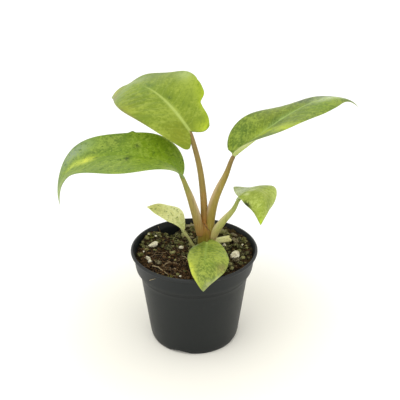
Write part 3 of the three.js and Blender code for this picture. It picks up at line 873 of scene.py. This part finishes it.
def makeStemGroup():
    # skin that runs in fine dark and pale lines along the stem, shaded by three colours from root to blade,
    # with the colour of its wing and a dark crease where those fields show
    group, given = newGroup("stemSkin", ("Root", "Middle", "End", "Wing"), ("Line Strength",))
    place = placeOf(group)
    along = surfaceOf(group)[1]
    lines = noiseOf(group, drawnUp(group, place, 0.06), stemScales["lines"], 3, 0.6)
    patches = noiseOf(group, place, stemScales["patches"], 3, 0.55)
    shifted = plus(group, along, swing(group, patches, 0.5))
    colour = layOver(group, given["Root"], given["Middle"], easeOf(group, shifted, 0.0, 0.45))
    colour = layOver(group, colour, given["End"], easeOf(group, shifted, 0.55, 1.0))
    for tone, low, high in (("dark", 0.5, 0.3), ("pale", 0.56, 0.75)):
        shown = easeOf(group, lines, low, high)
        colour = layOver(group, colour, stemTones[tone], shown, given["Line Strength"])
    colour = layOver(group, colour, given["Wing"], fieldOf(group, "wing"), 0.85)
    colour = layOver(group, colour, stemTones["crease"], fieldOf(group, "crease"), 0.8)
    return closeGroup(group, colour, plus(group, times(group, patches, 0.2), 0.36), lines)


stemSkin = makeStemGroup()


def makeStemMaterial(name, colours, lineStrength, wingColour=noWing[2]):
    values = dict(zip(("Root", "Middle", "End", "Wing"), map(rgba, (*colours, wingColour))))
    values["Line Strength"] = lineStrength
    return groupMaterial(name, stemSkin, values, strength=0.25, depth=0.15, specular=0.3)


def ringGrid(rows, columns):  # how far along the stem from 0 to 1, by row, and the angle round it, by column
    return np.linspace(0, 1, rows)[:, None], turnAngles(columns)[None, :]


def ringUv(rows, columns):  # round and along, with the two end points last
    along, around = np.broadcast_arrays(*ringGrid(rows, columns))
    flat = np.stack([around / (2 * np.pi), along], axis=-1)
    return np.vstack([flat.reshape(-1, 2), [[0.5, 0], [0.5, 1]]])


print("stem skins ready")

# Leaves. The heading is the way the midrib leaves its petiole, in degrees from +X towards +Y, and turn is how
# far it has changed at the tip. Pitch, roll, fold and curl are degrees too. Droop is how late the midrib
# bends down, and rise adds to its pitch at the base. Spread, taper and notch shape the outline, and lobes are
# how far it reaches back. Pairs are left and right as seen from the petiole to the tip, or base and tip.
# Rows run from 0 at the base to 1 at the tip, and across from -1 at the right edge to 1 at the left one.
# A wave is its height, count and phase on each half. A nick is its half, its row, its reach to the base and
# to the tip, and its depth, which is below zero for a bump. Drawn is the row from which the tip is thinner,
# and how much. A patch is the row and across of its middle, its half spans, its colour and how strongly it
# shows. ribShow is how strongly the pale midrib shows and the row where it has faded.

leaves = {
    "left": {
        "base": (-5.2, -6.7, 88.2), "length": 81, "halfWidth": (16.2, 15.9), "spread": 0.61,
        "taper": 0.84, "notch": (0.002, 0.002), "lobes": (1, 0), "heading": 172, "turn": -12.5,
        "pitch": (3, -107), "droop": 2.65, "rise": 62, "roll": (-3, -25),
        "fold": ((14, -13), (5.5, 11.5)), "curl": (11, 9), "wave": ((2, 1.5, 0.28), (1.15, 1.95, 0.925)),
        "nicks": [(-1, 0.362, 0.014, 0.014, -0.07)], "tint": (105, 132, 25), "light": (144, 163, 60),
        "dark": (62, 90, 16), "rib": (122, 148, 54), "under": (120, 142, 70), "marbling": 0.36,
        "flecks": 0.46, "darkFlecks": 0.75, "ribShow": (0.25, 0.2),
        "patches": [
            # painted sheen: the grey-green patch over the left half at row 0.42 and the grey patch near the
            # right edge at row 0.7
            (0.42, 0.7, 0.3, 0.4, (116, 138, 58), 0.8), (0.62, -0.6, 0.08, 0.4, (132, 156, 66), 0.7),
            (0.45, -0.65, 0.07, 0.4, (74, 98, 16), 0.75), (0.2, 0.0, 0.18, 0.9, (112, 138, 16), 0.7),
            (0.7, -0.75, 0.1, 0.35, (136, 152, 124), 0.85), (0.88, 0.5, 0.1, 0.5, (152, 172, 80), 0.7),
            (0.57, -0.28, 0.07, 0.1, (84, 108, 28), 0.8), (0.6, 0.05, 0.055, 0.15, (208, 214, 74), 1.0),
            (0.69, -0.06, 0.06, 0.12, (192, 206, 80), 0.95),
            (0.334, 0.19, 0.015, 0.15, (40, 60, 12), 1.0), (0.307, -0.42, 0.016, 0.1, (44, 66, 10), 1.0),
            (0.358, -1.0, 0.016, 0.12, (70, 94, 18), 0.9), (0.08, 0.75, 0.03, 0.4, (172, 184, 118), 0.8),
            (0.12, -1.0, 0.09, 0.05, (196, 204, 140), 0.9),
        ],
    },
    "top": {
        "base": (-2, 3.1, 105.9), "length": 69.5, "halfWidth": (18.7, 19.2), "spread": 0.885,
        "taper": 0.84, "notch": (0.1, 0.1), "lobes": (9.5, 4.5), "heading": 124, "turn": 10,
        "pitch": (27.5, -53), "droop": 1.72, "roll": (-8.5, -14.5), "fold": ((10, -22), (21, -18.5)),
        "curl": (-7, 9.5), "wave": ((-0.1, 2.7, 0.13), (1.25, 2.3, 0.4)),
        "nicks": [(-1, 0.17, 0.11, 0.025, 0.2), (-1, 0.31, 0.015, 0.015, 0.015)], "tint": (112, 132, 26),
        "light": (154, 168, 62), "dark": (90, 112, 16), "rib": (168, 184, 92), "under": (150, 166, 58),
        "marbling": 0.44, "flecks": 0.32, "darkFlecks": 0.45, "ribShow": (0.6, 0.52),
        "patches": [
            (0.3, 0.5, 0.3, 0.5, (110, 130, 26), 0.7), (0.05, 0.5, 0.12, 0.7, (120, 130, 16), 0.9),
            # painted sheen: the pale grey-green band at row 0.72 where the blade turns over, and the pale
            # patch near the right edge at row 0.4
            (0.72, 0, 0.06, 0.7, (150, 168, 112), 0.7), (0.4, -0.9, 0.07, 0.2, (170, 186, 116), 0.8),
            (0.88, 0.4, 0.1, 0.5, (158, 162, 54), 0.8), (0.2, -0.95, 0.14, 0.2, (150, 170, 14), 0.9),
            (0.01, -0.7, 0.05, 0.35, (166, 184, 30), 0.9), (0.44, 0.85, 0.1, 0.2, (156, 162, 30), 0.8),
            (0.55, 0.1, 0.12, 0.4, (114, 140, 42), 0.6), (0.42, 1.0, 0.3, 0.05, (118, 106, 66), 0.8),
            (0.8, 0.95, 0.05, 0.25, (140, 128, 96), 0.8), (0.47, 0.58, 0.1, 0.35, (98, 118, 18), 0.85),
            (0.3, -0.7, 0.1, 0.3, (150, 166, 56), 0.6), (0.17, 0, 0.16, 0.06, (172, 188, 96), 0.7),
            (0.314, -0.14, 0.02, 0.05, (70, 94, 16), 0.9), (0.464, 0.14, 0.02, 0.05, (80, 104, 20), 0.8),
            (0.535, -0.11, 0.04, 0.08, (84, 110, 24), 0.8),
        ],
    },
    "right": {
        "base": (18, -1.5, 96), "length": 75, "halfWidth": (15.5, 17), "spread": 0.5, "taper": 1,
        "notch": (0.01, 0.01), "lobes": (0, 1), "heading": 24.5, "turn": 5, "pitch": (29.5, -50),
        "droop": 2.8, "roll": (3.5, -1), "fold": ((30, -15.5), (52, -31)), "curl": (-29, -13.5),
        "wave": ((-1.2, 2, 0.27), (0.3, 2.75, 0.1)), "drawn": (0.7, 0.75), "tint": (94, 114, 22),
        "light": (142, 160, 56), "dark": (72, 96, 18), "rib": (158, 180, 100), "under": (192, 200, 120),
        "marbling": 0.6, "flecks": 0.55, "darkFlecks": 0.45, "ribShow": (0.48, 0.85),
        "patches": [
            (0.22, -0.2, 0.06, 0.35, (168, 186, 40), 1.0), (0.31, -0.8, 0.05, 0.25, (178, 194, 32), 1.0),
            (0.38, -0.95, 0.04, 0.12, (170, 186, 44), 0.8), (0.36, 0.0, 0.12, 0.12, (146, 172, 92), 0.75),
            (0.585, 0.5, 0.065, 0.4, (70, 86, 46), 1.0), (0.78, 0.4, 0.1, 0.5, (140, 158, 112), 0.8),
            (0.74, -0.06, 0.13, 0.27, (204, 212, 176), 1.0),
            (0.255, -0.5, 0.035, 0.3, (158, 178, 40), 0.9), (0.65, -0.5, 0.2, 0.5, (118, 146, 44), 0.6),
            (0.8, -0.9, 0.06, 0.2, (104, 110, 40), 0.6), (0.4, 0.6, 0.12, 0.4, (124, 138, 46), 0.7),
            (0.1, 0.5, 0.12, 0.5, (92, 120, 34), 0.6), (0.97, 0.0, 0.05, 1.0, (120, 126, 92), 0.8),
        ],
    },
    "small_right": {
        "base": (20.9, -3.3, 75.4), "length": 34.8, "halfWidth": (9, 10.8), "spread": 0.69, "taper": 0.67,
        "notch": (0.13, 0.002), "lobes": (3, 0), "lobeBend": 0.5, "heading": -20, "turn": -112,
        "pitch": (64, -105), "droop": 1.32, "rise": -31, "roll": (-14.5, -27),
        "fold": ((59.5, -44.5), (4, -46.5)), "curl": (-31, -29),
        "wave": ((-1.9, 1.95, -0.08), (0.6, 2.1, -0.83)), "tint": (138, 152, 58), "light": (176, 190, 96),
        "dark": (108, 128, 42), "rib": (190, 202, 140), "under": (160, 172, 124), "marbling": 0.45,
        "flecks": 0.5, "darkFlecks": 0.35, "ribShow": (0.8, 0.25),
        "patches": [
            (0.8, 0, 0.16, 0.9, (142, 160, 46), 0.7), (0.95, 0.1, 0.06, 0.6, (174, 202, 20), 1.0),
            # the pale patch on the left lobe at row 0.06 is partly the ear's own pale colour and partly
            # painted light, lifting it out of its shade
            (0.53, 0.1, 0.08, 0.4, (168, 178, 92), 0.6), (0.06, 0.5, 0.18, 0.5, (188, 196, 162), 1.0),
            (0.7, -0.86, 0.085, 0.2, (46, 56, 10), 1.0), (0.67, -1.0, 0.06, 0.16, (24, 32, 4), 1.0),
            (0.47, -0.62, 0.04, 0.1, (204, 212, 148), 0.8),
            (0.38, -0.25, 0.04, 0.14, (204, 212, 148), 0.8), (0.5, 0.9, 0.2, 0.2, (180, 194, 108), 0.7),
        ],
    },
    "small_left": {
        "base": (-5, 3, 55), "length": 22, "halfWidth": (6, 7), "spread": 0.85, "taper": 0.95,
        "notch": (0.01, 0.01), "lobes": (0.3, 0), "heading": 150, "turn": 23.5, "pitch": (58.5, -0.5),
        "droop": 0.9, "roll": (-5.5, -18), "fold": ((27.5, -11.5), (17.5, -5)), "curl": (6.5, -19.5),
        "wave": ((-0.2, 2.35, 0.3), (0.6, 2, 0.57)), "tint": (226, 226, 148), "light": (240, 242, 184),
        "dark": (112, 130, 50), "rib": (206, 212, 140), "under": (180, 188, 112), "marbling": 0.4,
        "flecks": 0.4, "darkFlecks": 0.95, "ribShow": (0.4, 0.6),
        "patches": [(0.12, 0, 0.16, 1, (166, 178, 90), 0.8), (0.85, 0, 0.2, 0.8, (212, 208, 116), 0.6)],
    },
    "front": {
        "base": (6, -6, 53), "length": 33.5, "halfWidth": (11, 8), "spread": 0.9, "taper": 0.8,
        "notch": (0.04, 0.04), "lobes": (3.5, 1.5), "heading": -93.5, "turn": 0.5, "pitch": (5.5, -82.5),
        "droop": 3, "roll": (-0.5, -20.5), "fold": ((17, -11), (10.5, -10.5)), "curl": (-19, -18.5),
        "wave": ((0.3, 2.85, 0), (-0.5, 2.6, 0.2)), "tint": (102, 119, 44), "light": (158, 171, 70),
        "dark": (82, 104, 32), "rib": (146, 168, 78), "under": (184, 190, 150), "marbling": 0.55,
        "flecks": 0.55, "darkFlecks": 0.5, "ribShow": (0.6, 0.5),
        "patches": [
            (0.72, -0.92, 0.28, 0.26, (200, 206, 66), 0.9), (0.55, 0.1, 0.14, 0.4, (112, 140, 40), 0.6),
            (0.38, 0.6, 0.15, 0.4, (148, 162, 68), 0.7), (0.6, 0.82, 0.11, 0.26, (132, 124, 70), 0.85),
            (0.2, 0, 0.2, 0.5, (114, 138, 50), 0.6), (0.09, 0.45, 0.08, 0.4, (158, 176, 80), 0.7),
            (1.0, 0.1, 0.05, 1, (140, 146, 100), 0.9), (0.8, 1.0, 0.11, 0.2, (178, 186, 128), 1.0),
            (0.91, 0.6, 0.07, 0.5, (160, 166, 110), 1.0),
        ],
    },
}
leafBuild = {
    "rows": 130, "halfColumns": 28, "midribSteps": 480, "thickness": 0.5, "keel": 0.75, "keelWidth": 0.8,
    "groove": 0.14, "grooveWidth": 0.6, "seedStep": 0.37,
}
veining = {"count": 15, "lean": 2.6, "quilt": 0.07}
leafScales = {"clouds": 85, "wobble": 120, "streaks": 2.2, "flecks": 760, "spots": 520, "cells": 2600}


def leafDirections(leaf, station):
    # the midrib's tangent from its pitch and heading, then the blade's sideways and upward directions, rolled
    rise = leaf.get("rise", 0) * (1 - station) ** 10
    pitch = np.radians(mix(*leaf["pitch"], station ** leaf["droop"]) + rise)
    heading = np.radians(leaf["heading"] + leaf["turn"] * station)
    tangent = polar(np.cos(pitch), heading, np.sin(pitch))
    level = np.stack([-np.sin(heading), np.cos(heading), np.zeros_like(heading)], axis=-1)
    upright = np.cross(tangent, level)
    roll = np.radians(mix(*leaf["roll"], station))[..., None]
    cosine, sine = np.cos(roll), np.sin(roll)
    return tangent, level * cosine + upright * sine, upright * cosine - level * sine


def leafPoints(leaf, row, across):
    # middle surface: the midrib point, plus the half width at this row carried out at the fold angle, plus
    # the edge's wave; near the base rows lean back into the lobes
    def pick(pair):
        return np.where(across > 0, pair[0], pair[1])

    steps = leafBuild["midribSteps"]
    tangents = leafDirections(leaf, (np.arange(steps) + 0.5) / steps)[0]
    base = np.asarray(leaf["base"], float)
    midrib = np.vstack([base, base + np.cumsum(tangents, axis=0) * leaf["length"] / steps])
    out = np.abs(across)
    lean = np.sin(leaf.get("lobeBend", 0.7) * np.pi * out) * (1 - row) ** 5
    along = row - pick(leaf["lobes"]) / leaf["length"] * lean
    station = np.maximum(along, 0)
    stations = np.linspace(0, 1, steps + 1)
    spine = np.stack([np.interp(station, stations, midrib[:, k]) for k in range(3)], axis=-1)
    spine = spine + np.minimum(along, 0)[..., None] * leaf["length"] * tangents[0]
    _, side, normal = leafDirections(leaf, station)
    shape = np.maximum(np.sin(np.pi * mix(pick(leaf["notch"]), 1, row) ** leaf["spread"]), 0) ** leaf["taper"]
    reach = pick(leaf["halfWidth"]) * shape * out
    for half, at, before, after, depth in leaf.get("nicks", ()):
        nick = np.exp(-(((row - at) / np.where(row < at, before, after)) ** 2)) * (across * half > 0)
        reach = reach * (1 - depth * nick * out**2)
    start, amount = leaf.get("drawn", (0.9, 0))
    reach = reach * (1 - amount * smoothStep(row, start, 0.97))
    atBase, atTip = (pick(angles) for angles in zip(*leaf["fold"]))
    angle = np.radians(mix(atBase, atTip, row) + 0.5 * pick(leaf["curl"]) * out)
    height, count, phase = (pick(values) for values in zip(*leaf["wave"]))
    ripple = height * np.sin(2 * np.pi * (count * row + phase)) * out**2 * np.minimum(1, 1.5 * shape)
    sideways = (np.sign(across) * reach * np.cos(angle))[..., None] * side
    return spine + sideways + (reach * np.sin(angle) + ripple)[..., None] * normal, reach, shape


def closeBlade(rings, tip, columns):
    # the far end runs to the tip; at the base a strip joins the upper line of the first ring to its lower one
    points, quads, fans = closedSkin(rings, tip, tip)
    around = rings.shape[1]
    end = fans[around:] - (fans[around:] > rings.size // 3)
    above = np.arange(columns)
    below = (around - above) % around
    strip = [[above[:-2], above[1:-1], below[1:-1]], [above[1:-1], below[2:], below[1:-1]]]
    return points[:-1], quads, np.vstack([*(np.stack(part, axis=-1) for part in strip), end])


def leafSurface(leaf):
    # upper and lower face from one middle surface, joined at a thin round edge; the midrib is a groove above
    # and a keel below, and the skin between the side veins is puffed up a little
    rows = np.linspace(0, 0.994, leafBuild["rows"])[:, None] ** 1.12
    places = np.sin(np.linspace(-1, 1, 2 * leafBuild["halfColumns"] + 1) * np.pi / 2)[None, :]
    row, across = np.broadcast_arrays(rows, 0.55 * places + 0.45 * places**3)
    middle, reach, shape = leafPoints(leaf, row, across)
    upward = unit(np.cross(np.gradient(middle, axis=0), np.gradient(middle, axis=1)))
    out = np.abs(across)
    phase = veining["count"] * row - veining["lean"] * out
    quilt = veining["quilt"] * np.cos(2 * np.pi * phase) * np.sin(np.pi * out) * shape
    thin = 0.5 * leafBuild["thickness"] * np.sqrt(np.maximum(1 - out**8, 0)) * (1 - row**14)
    keel = leafBuild["keel"] * (1 - row) * np.exp(-((reach / leafBuild["keelWidth"]) ** 2))
    groove = leafBuild["groove"] * (1 - row) * np.exp(-((reach / leafBuild["grooveWidth"]) ** 2))
    above = middle + upward * (thin + quilt - groove)[..., None]
    below = middle - upward * (thin - quilt + keel)[..., None]
    inner = slice(across.shape[1] - 2, 0, -1)

    def wrap(top, bottom):
        return np.concatenate([top, bottom[:, inner]], axis=1)

    def perVertex(top, bottom, atTip=0.0):
        return np.append(wrap(top, bottom), atTip)

    tip = leafPoints(leaf, np.array([[1.0]]), np.array([[0.0]]))[0][0, 0]
    fromEdge = reach / np.maximum(out, 1e-6) * (1 - out)
    fields = {
        "fromRib": perVertex(reach, reach), "fromEdge": perVertex(fromEdge, fromEdge),
        "under": perVertex(np.zeros_like(row), np.ones_like(row), 0.5),
    }
    skin = closeBlade(wrap(above, below), tip, across.shape[1])
    return skin, perVertex(row, row, 1.0), perVertex(across, across), fields


def paintLeaf(leaf, row, across):
    # the leaf's tint, with each soft patch laid over it by a bell-shaped weight; a few patches are painted
    # sheen or painted light
    colour = np.broadcast_to(linear(leaf["tint"]), (len(row), 3))
    for atRow, atAcross, rowSpan, acrossSpan, patchColour, strength in leaf["patches"]:
        weight = strength * bell(row, across, atRow, atAcross, rowSpan**2, acrossSpan**2)
        colour = mix(colour, linear(patchColour), weight[:, None])
    return colour


def makeLeafGroup():
    # marbling in soft clouds and in streaks along the side veins, fine light and dark flecks that cluster,
    # a pale midrib and faint side veins, a thin edge line and a plainer underside
    numbers = ("Marbling", "Flecks", "Dark Flecks", "Seed", "Rib Show", "Rib Reach")
    group, given = newGroup("leafMarbling", ("Light", "Dark", "Rib", "Under"), numbers)
    shift = addNode(group, "ShaderNodeCombineXYZ", {0: given["Seed"], 1: given["Seed"]}).outputs[0]
    place = addNode(group, "ShaderNodeVectorMath", {0: placeOf(group), 1: shift}).outputs[0]
    aside, along = surfaceOf(group)
    across = mathOf(group, "ABSOLUTE", swing(group, aside, 2.0))
    tint, under = fieldOf(group, "tint", "Color"), fieldOf(group, "under")

    clouds = noiseOf(group, place, leafScales["clouds"], 3, 0.55)
    wobble = swing(group, noiseOf(group, place, leafScales["wobble"], 1), 0.5)
    phase = minus(group, times(group, along, veining["count"]), times(group, across, veining["lean"]))
    phase = plus(group, phase, wobble)
    sockets = {0: phase, 1: times(group, across, 1.3), 2: times(group, aside, 3.0)}
    onVeins = addNode(group, "ShaderNodeCombineXYZ", sockets).outputs[0]
    streaks = noiseOf(group, onVeins, leafScales["streaks"], 4, 0.7)
    marble = plus(group, times(group, clouds, 0.5), times(group, streaks, 0.5))
    bright = easeOf(group, addNode(group, "ShaderNodeRGBToBW", {0: tint}).outputs[0], 0.03, 0.1)
    lightShare = times(group, easeOf(group, marble, 0.5, 0.62), given["Marbling"])
    lightShare = times(group, lightShare, bright)
    colour = layOver(group, tint, given["Light"], lightShare)
    colour = layOver(group, colour, given["Dark"], easeOf(group, marble, 0.48, 0.37), given["Marbling"])

    fine = noiseOf(group, place, leafScales["flecks"], 3, 0.65)
    grouped = plus(group, fine, swing(group, clouds, 0.6))
    flecks = times(group, easeOf(group, grouped, 0.53, 0.61), given["Flecks"])
    colour = layOver(group, colour, given["Light"], flecks, bright)
    colour = layOver(group, colour, given["Dark"], easeOf(group, fine, 0.45, 0.37), given["Flecks"], 0.7)
    spots = noiseOf(group, place, leafScales["spots"], 4, 0.7)
    colour = layOver(group, colour, given["Dark"], easeOf(group, spots, 0.57, 0.66), given["Dark Flecks"])

    ripple = mathOf(group, "PINGPONG", phase, 0.5)
    vein = times(group, easeOf(group, ripple, 0.42, 0.5), easeOf(group, across, 1.05, 0.1))
    colour = layOver(group, colour, given["Rib"], vein, 0.14)
    ribWidth = times(group, minus(group, 1.12, along), 0.95)
    rib = easeOf(group, mathOf(group, "DIVIDE", fieldOf(group, "fromRib"), ribWidth), 1.0, 0.45)
    fade = easeOf(group, minus(group, along, given["Rib Reach"]), 0.12, -0.12)
    rib = times(group, rib, times(group, fade, given["Rib Show"]))
    colour = layOver(group, colour, given["Rib"], rib)
    edge = easeOf(group, fieldOf(group, "fromEdge"), 0.45, 0.1)
    colour = layOver(group, colour, given["Rib"], edge, 0.25)

    plain = layOver(group, given["Under"], given["Light"], lightShare, 0.4)
    plain = layOver(group, plain, given["Rib"], rib, 0.85)
    colour = layOver(group, colour, plain, under)
    rough = plus(group, times(group, clouds, 0.22), times(group, under, 0.14))
    cells = noiseOf(group, place, leafScales["cells"], 2, 0.5)
    relief = minus(group, times(group, cells, 0.3), times(group, vein, 0.5))
    relief = plus(group, relief, times(group, fine, 0.3))
    return closeGroup(group, colour, plus(group, rough, 0.34), relief)


leafMarbling = makeLeafGroup()


def makeLeafMaterial(name, leaf, seed):
    ribShow, ribReach = map(float, leaf["ribShow"])
    values = {socket: rgba(leaf[socket.lower()]) for socket in ("Light", "Dark", "Rib", "Under")}
    values.update({"Marbling": leaf["marbling"], "Flecks": leaf["flecks"], "Dark Flecks": leaf["darkFlecks"]})
    values.update({"Seed": seed, "Rib Show": ribShow, "Rib Reach": ribReach})
    return groupMaterial(f"leaf_{name}", leafMarbling, values, strength=0.3, depth=0.3, specular=0.2)


for index, (name, leaf) in enumerate(leaves.items()):
    shape, row, across, fields = leafSurface(leaf)
    fields["tint"] = paintLeaf(leaf, row, across)
    material = makeLeafMaterial(name, leaf, leafBuild["seedStep"] * index)
    uv = np.stack([0.5 + 0.5 * across, row], axis=-1)
    addPiece(f"leaf_{name}", shape, material, [f"blade_{name}"], uv, fields)
print("leaves unfolded")


def petioleSurface(stem, leaf):
    # a round stalk along its path and on under the midrib, where it thins out; the sheath that it grew in
    # leaves a thin wing along its inner side
    base = np.asarray(leaf["base"], float)
    tangent, _, normal = (v[0] for v in leafDirections(leaf, np.array([0.0])))
    below = 0.3 * leafBuild["thickness"] + 0.35
    points = [*stem["path"], base - below * normal, base + 2 * tangent - 1.1 * normal]
    path = smoothPath(points, stemBuild["grid"][0])
    t, angle = ringGrid(*stemBuild["grid"])
    joined = stemBuild["joined"]
    at, amount, _ = stem.get("wing", noWing)
    wing = np.exp(-((awayFrom(angle, math.radians(at)) / 0.55) ** 2)) * smoothStep(t, 0.85, 0.55)
    wing = wing * smoothStep(t, 0.12, 0.34) * (amount > 0)
    radius = mix(*stem["radius"], np.minimum(t / joined, 1)) * mix(1, 0.25, smoothStep(t, joined, 1.0))
    radius = radius * (1 + 0.03 * np.sin(3 * angle + 9 * t) + amount * wing)
    return closedTube(path, stem.get("facing", (0, -1, 0)), radius), np.append(wing.ravel(), [0, 0])


for name, stem in stems.items():
    wingColour = stem.get("wing", noWing)[2]
    material = makeStemMaterial(f"stem_{name}", stem["colours"], stemBuild["lines"], wingColour)
    shape, wing = petioleSurface(stem, leaves[name])
    uv = ringUv(*stemBuild["grid"])
    addPiece(f"stalk_{name}", shape, material, [f"petiole_{name}"], uv, {"wing": wing})


def crownSurface():
    # a swollen stem whose outermost sheath ends in a slanting lip across the front
    ends = np.array([crown["base"], crown["top"]])
    path = smoothPath([ends[0], ends.mean(axis=0), ends[1]], crown["grid"][0])
    t, angle = ringGrid(*crown["grid"])
    radius = crown["radius"] * np.sin(np.pi * (0.12 + 0.76 * t)) ** 0.4 * (1 + 0.28 * np.sin(np.pi * t))
    fromLip = awayFrom(angle, math.radians(crown["lipAngle"]) + 7 * (t - 0.84))
    sheath = 0.32 * smoothStep(fromLip, -0.12, 0.06) * smoothStep(fromLip, 2.6, 0.8)
    crease = np.exp(-((fromLip / 0.1) ** 2)) * smoothStep(t, 0.78, 0.84)
    ribs = 0.05 * np.sin(11 * angle + 3 * t) + 0.04 * np.sin(23 * angle)
    return closedTube(path, (0, -1, 0), radius * 0.97 + sheath + ribs), np.append(crease.ravel(), [0, 0])


shape, crease = crownSurface()
material = makeStemMaterial("crownSkin", crown["colours"], crown["lines"])
addPiece("crown_sheath", shape, material, ["crown"], ringUv(*crown["grid"]), {"crease": crease})


def stubSurface():
    # a stout dried stalk, flattened a little, whose blunt end is notched into two prongs
    path = smoothPath(stub["path"], stub["grid"][0])
    t, angle = ringGrid(*stub["grid"])
    radius = mix(*stub["radius"], t) * (1 + 0.12 * np.cos(2 * angle) + 0.05 * np.sin(5 * angle + 4 * t))
    radius = radius * (1 - 0.3 * smoothStep(t, 0.95, 1.0))
    radius = radius * (1 + 0.1 * np.cos(2 * angle) * smoothStep(t, 0.8, 1.0))
    prongs = (1.1 * np.cos(angle + 0.4) ** 2 - 0.6) * smoothStep(t, 0.85, 1.0)
    last = path[-1] - path[-2]
    rings = sweep(path, (0, 0, 1), radius) + prongs[..., None] * unit(last)
    return closedSkin(rings, path[0], path[-1] - last * 5)


material = makeStemMaterial("driedStub", stub["colours"], stub["lines"])
addPiece("old_stub", stubSurface(), material, ["old_leaf_stub"], ringUv(*stub["grid"]))
print("stems joined")
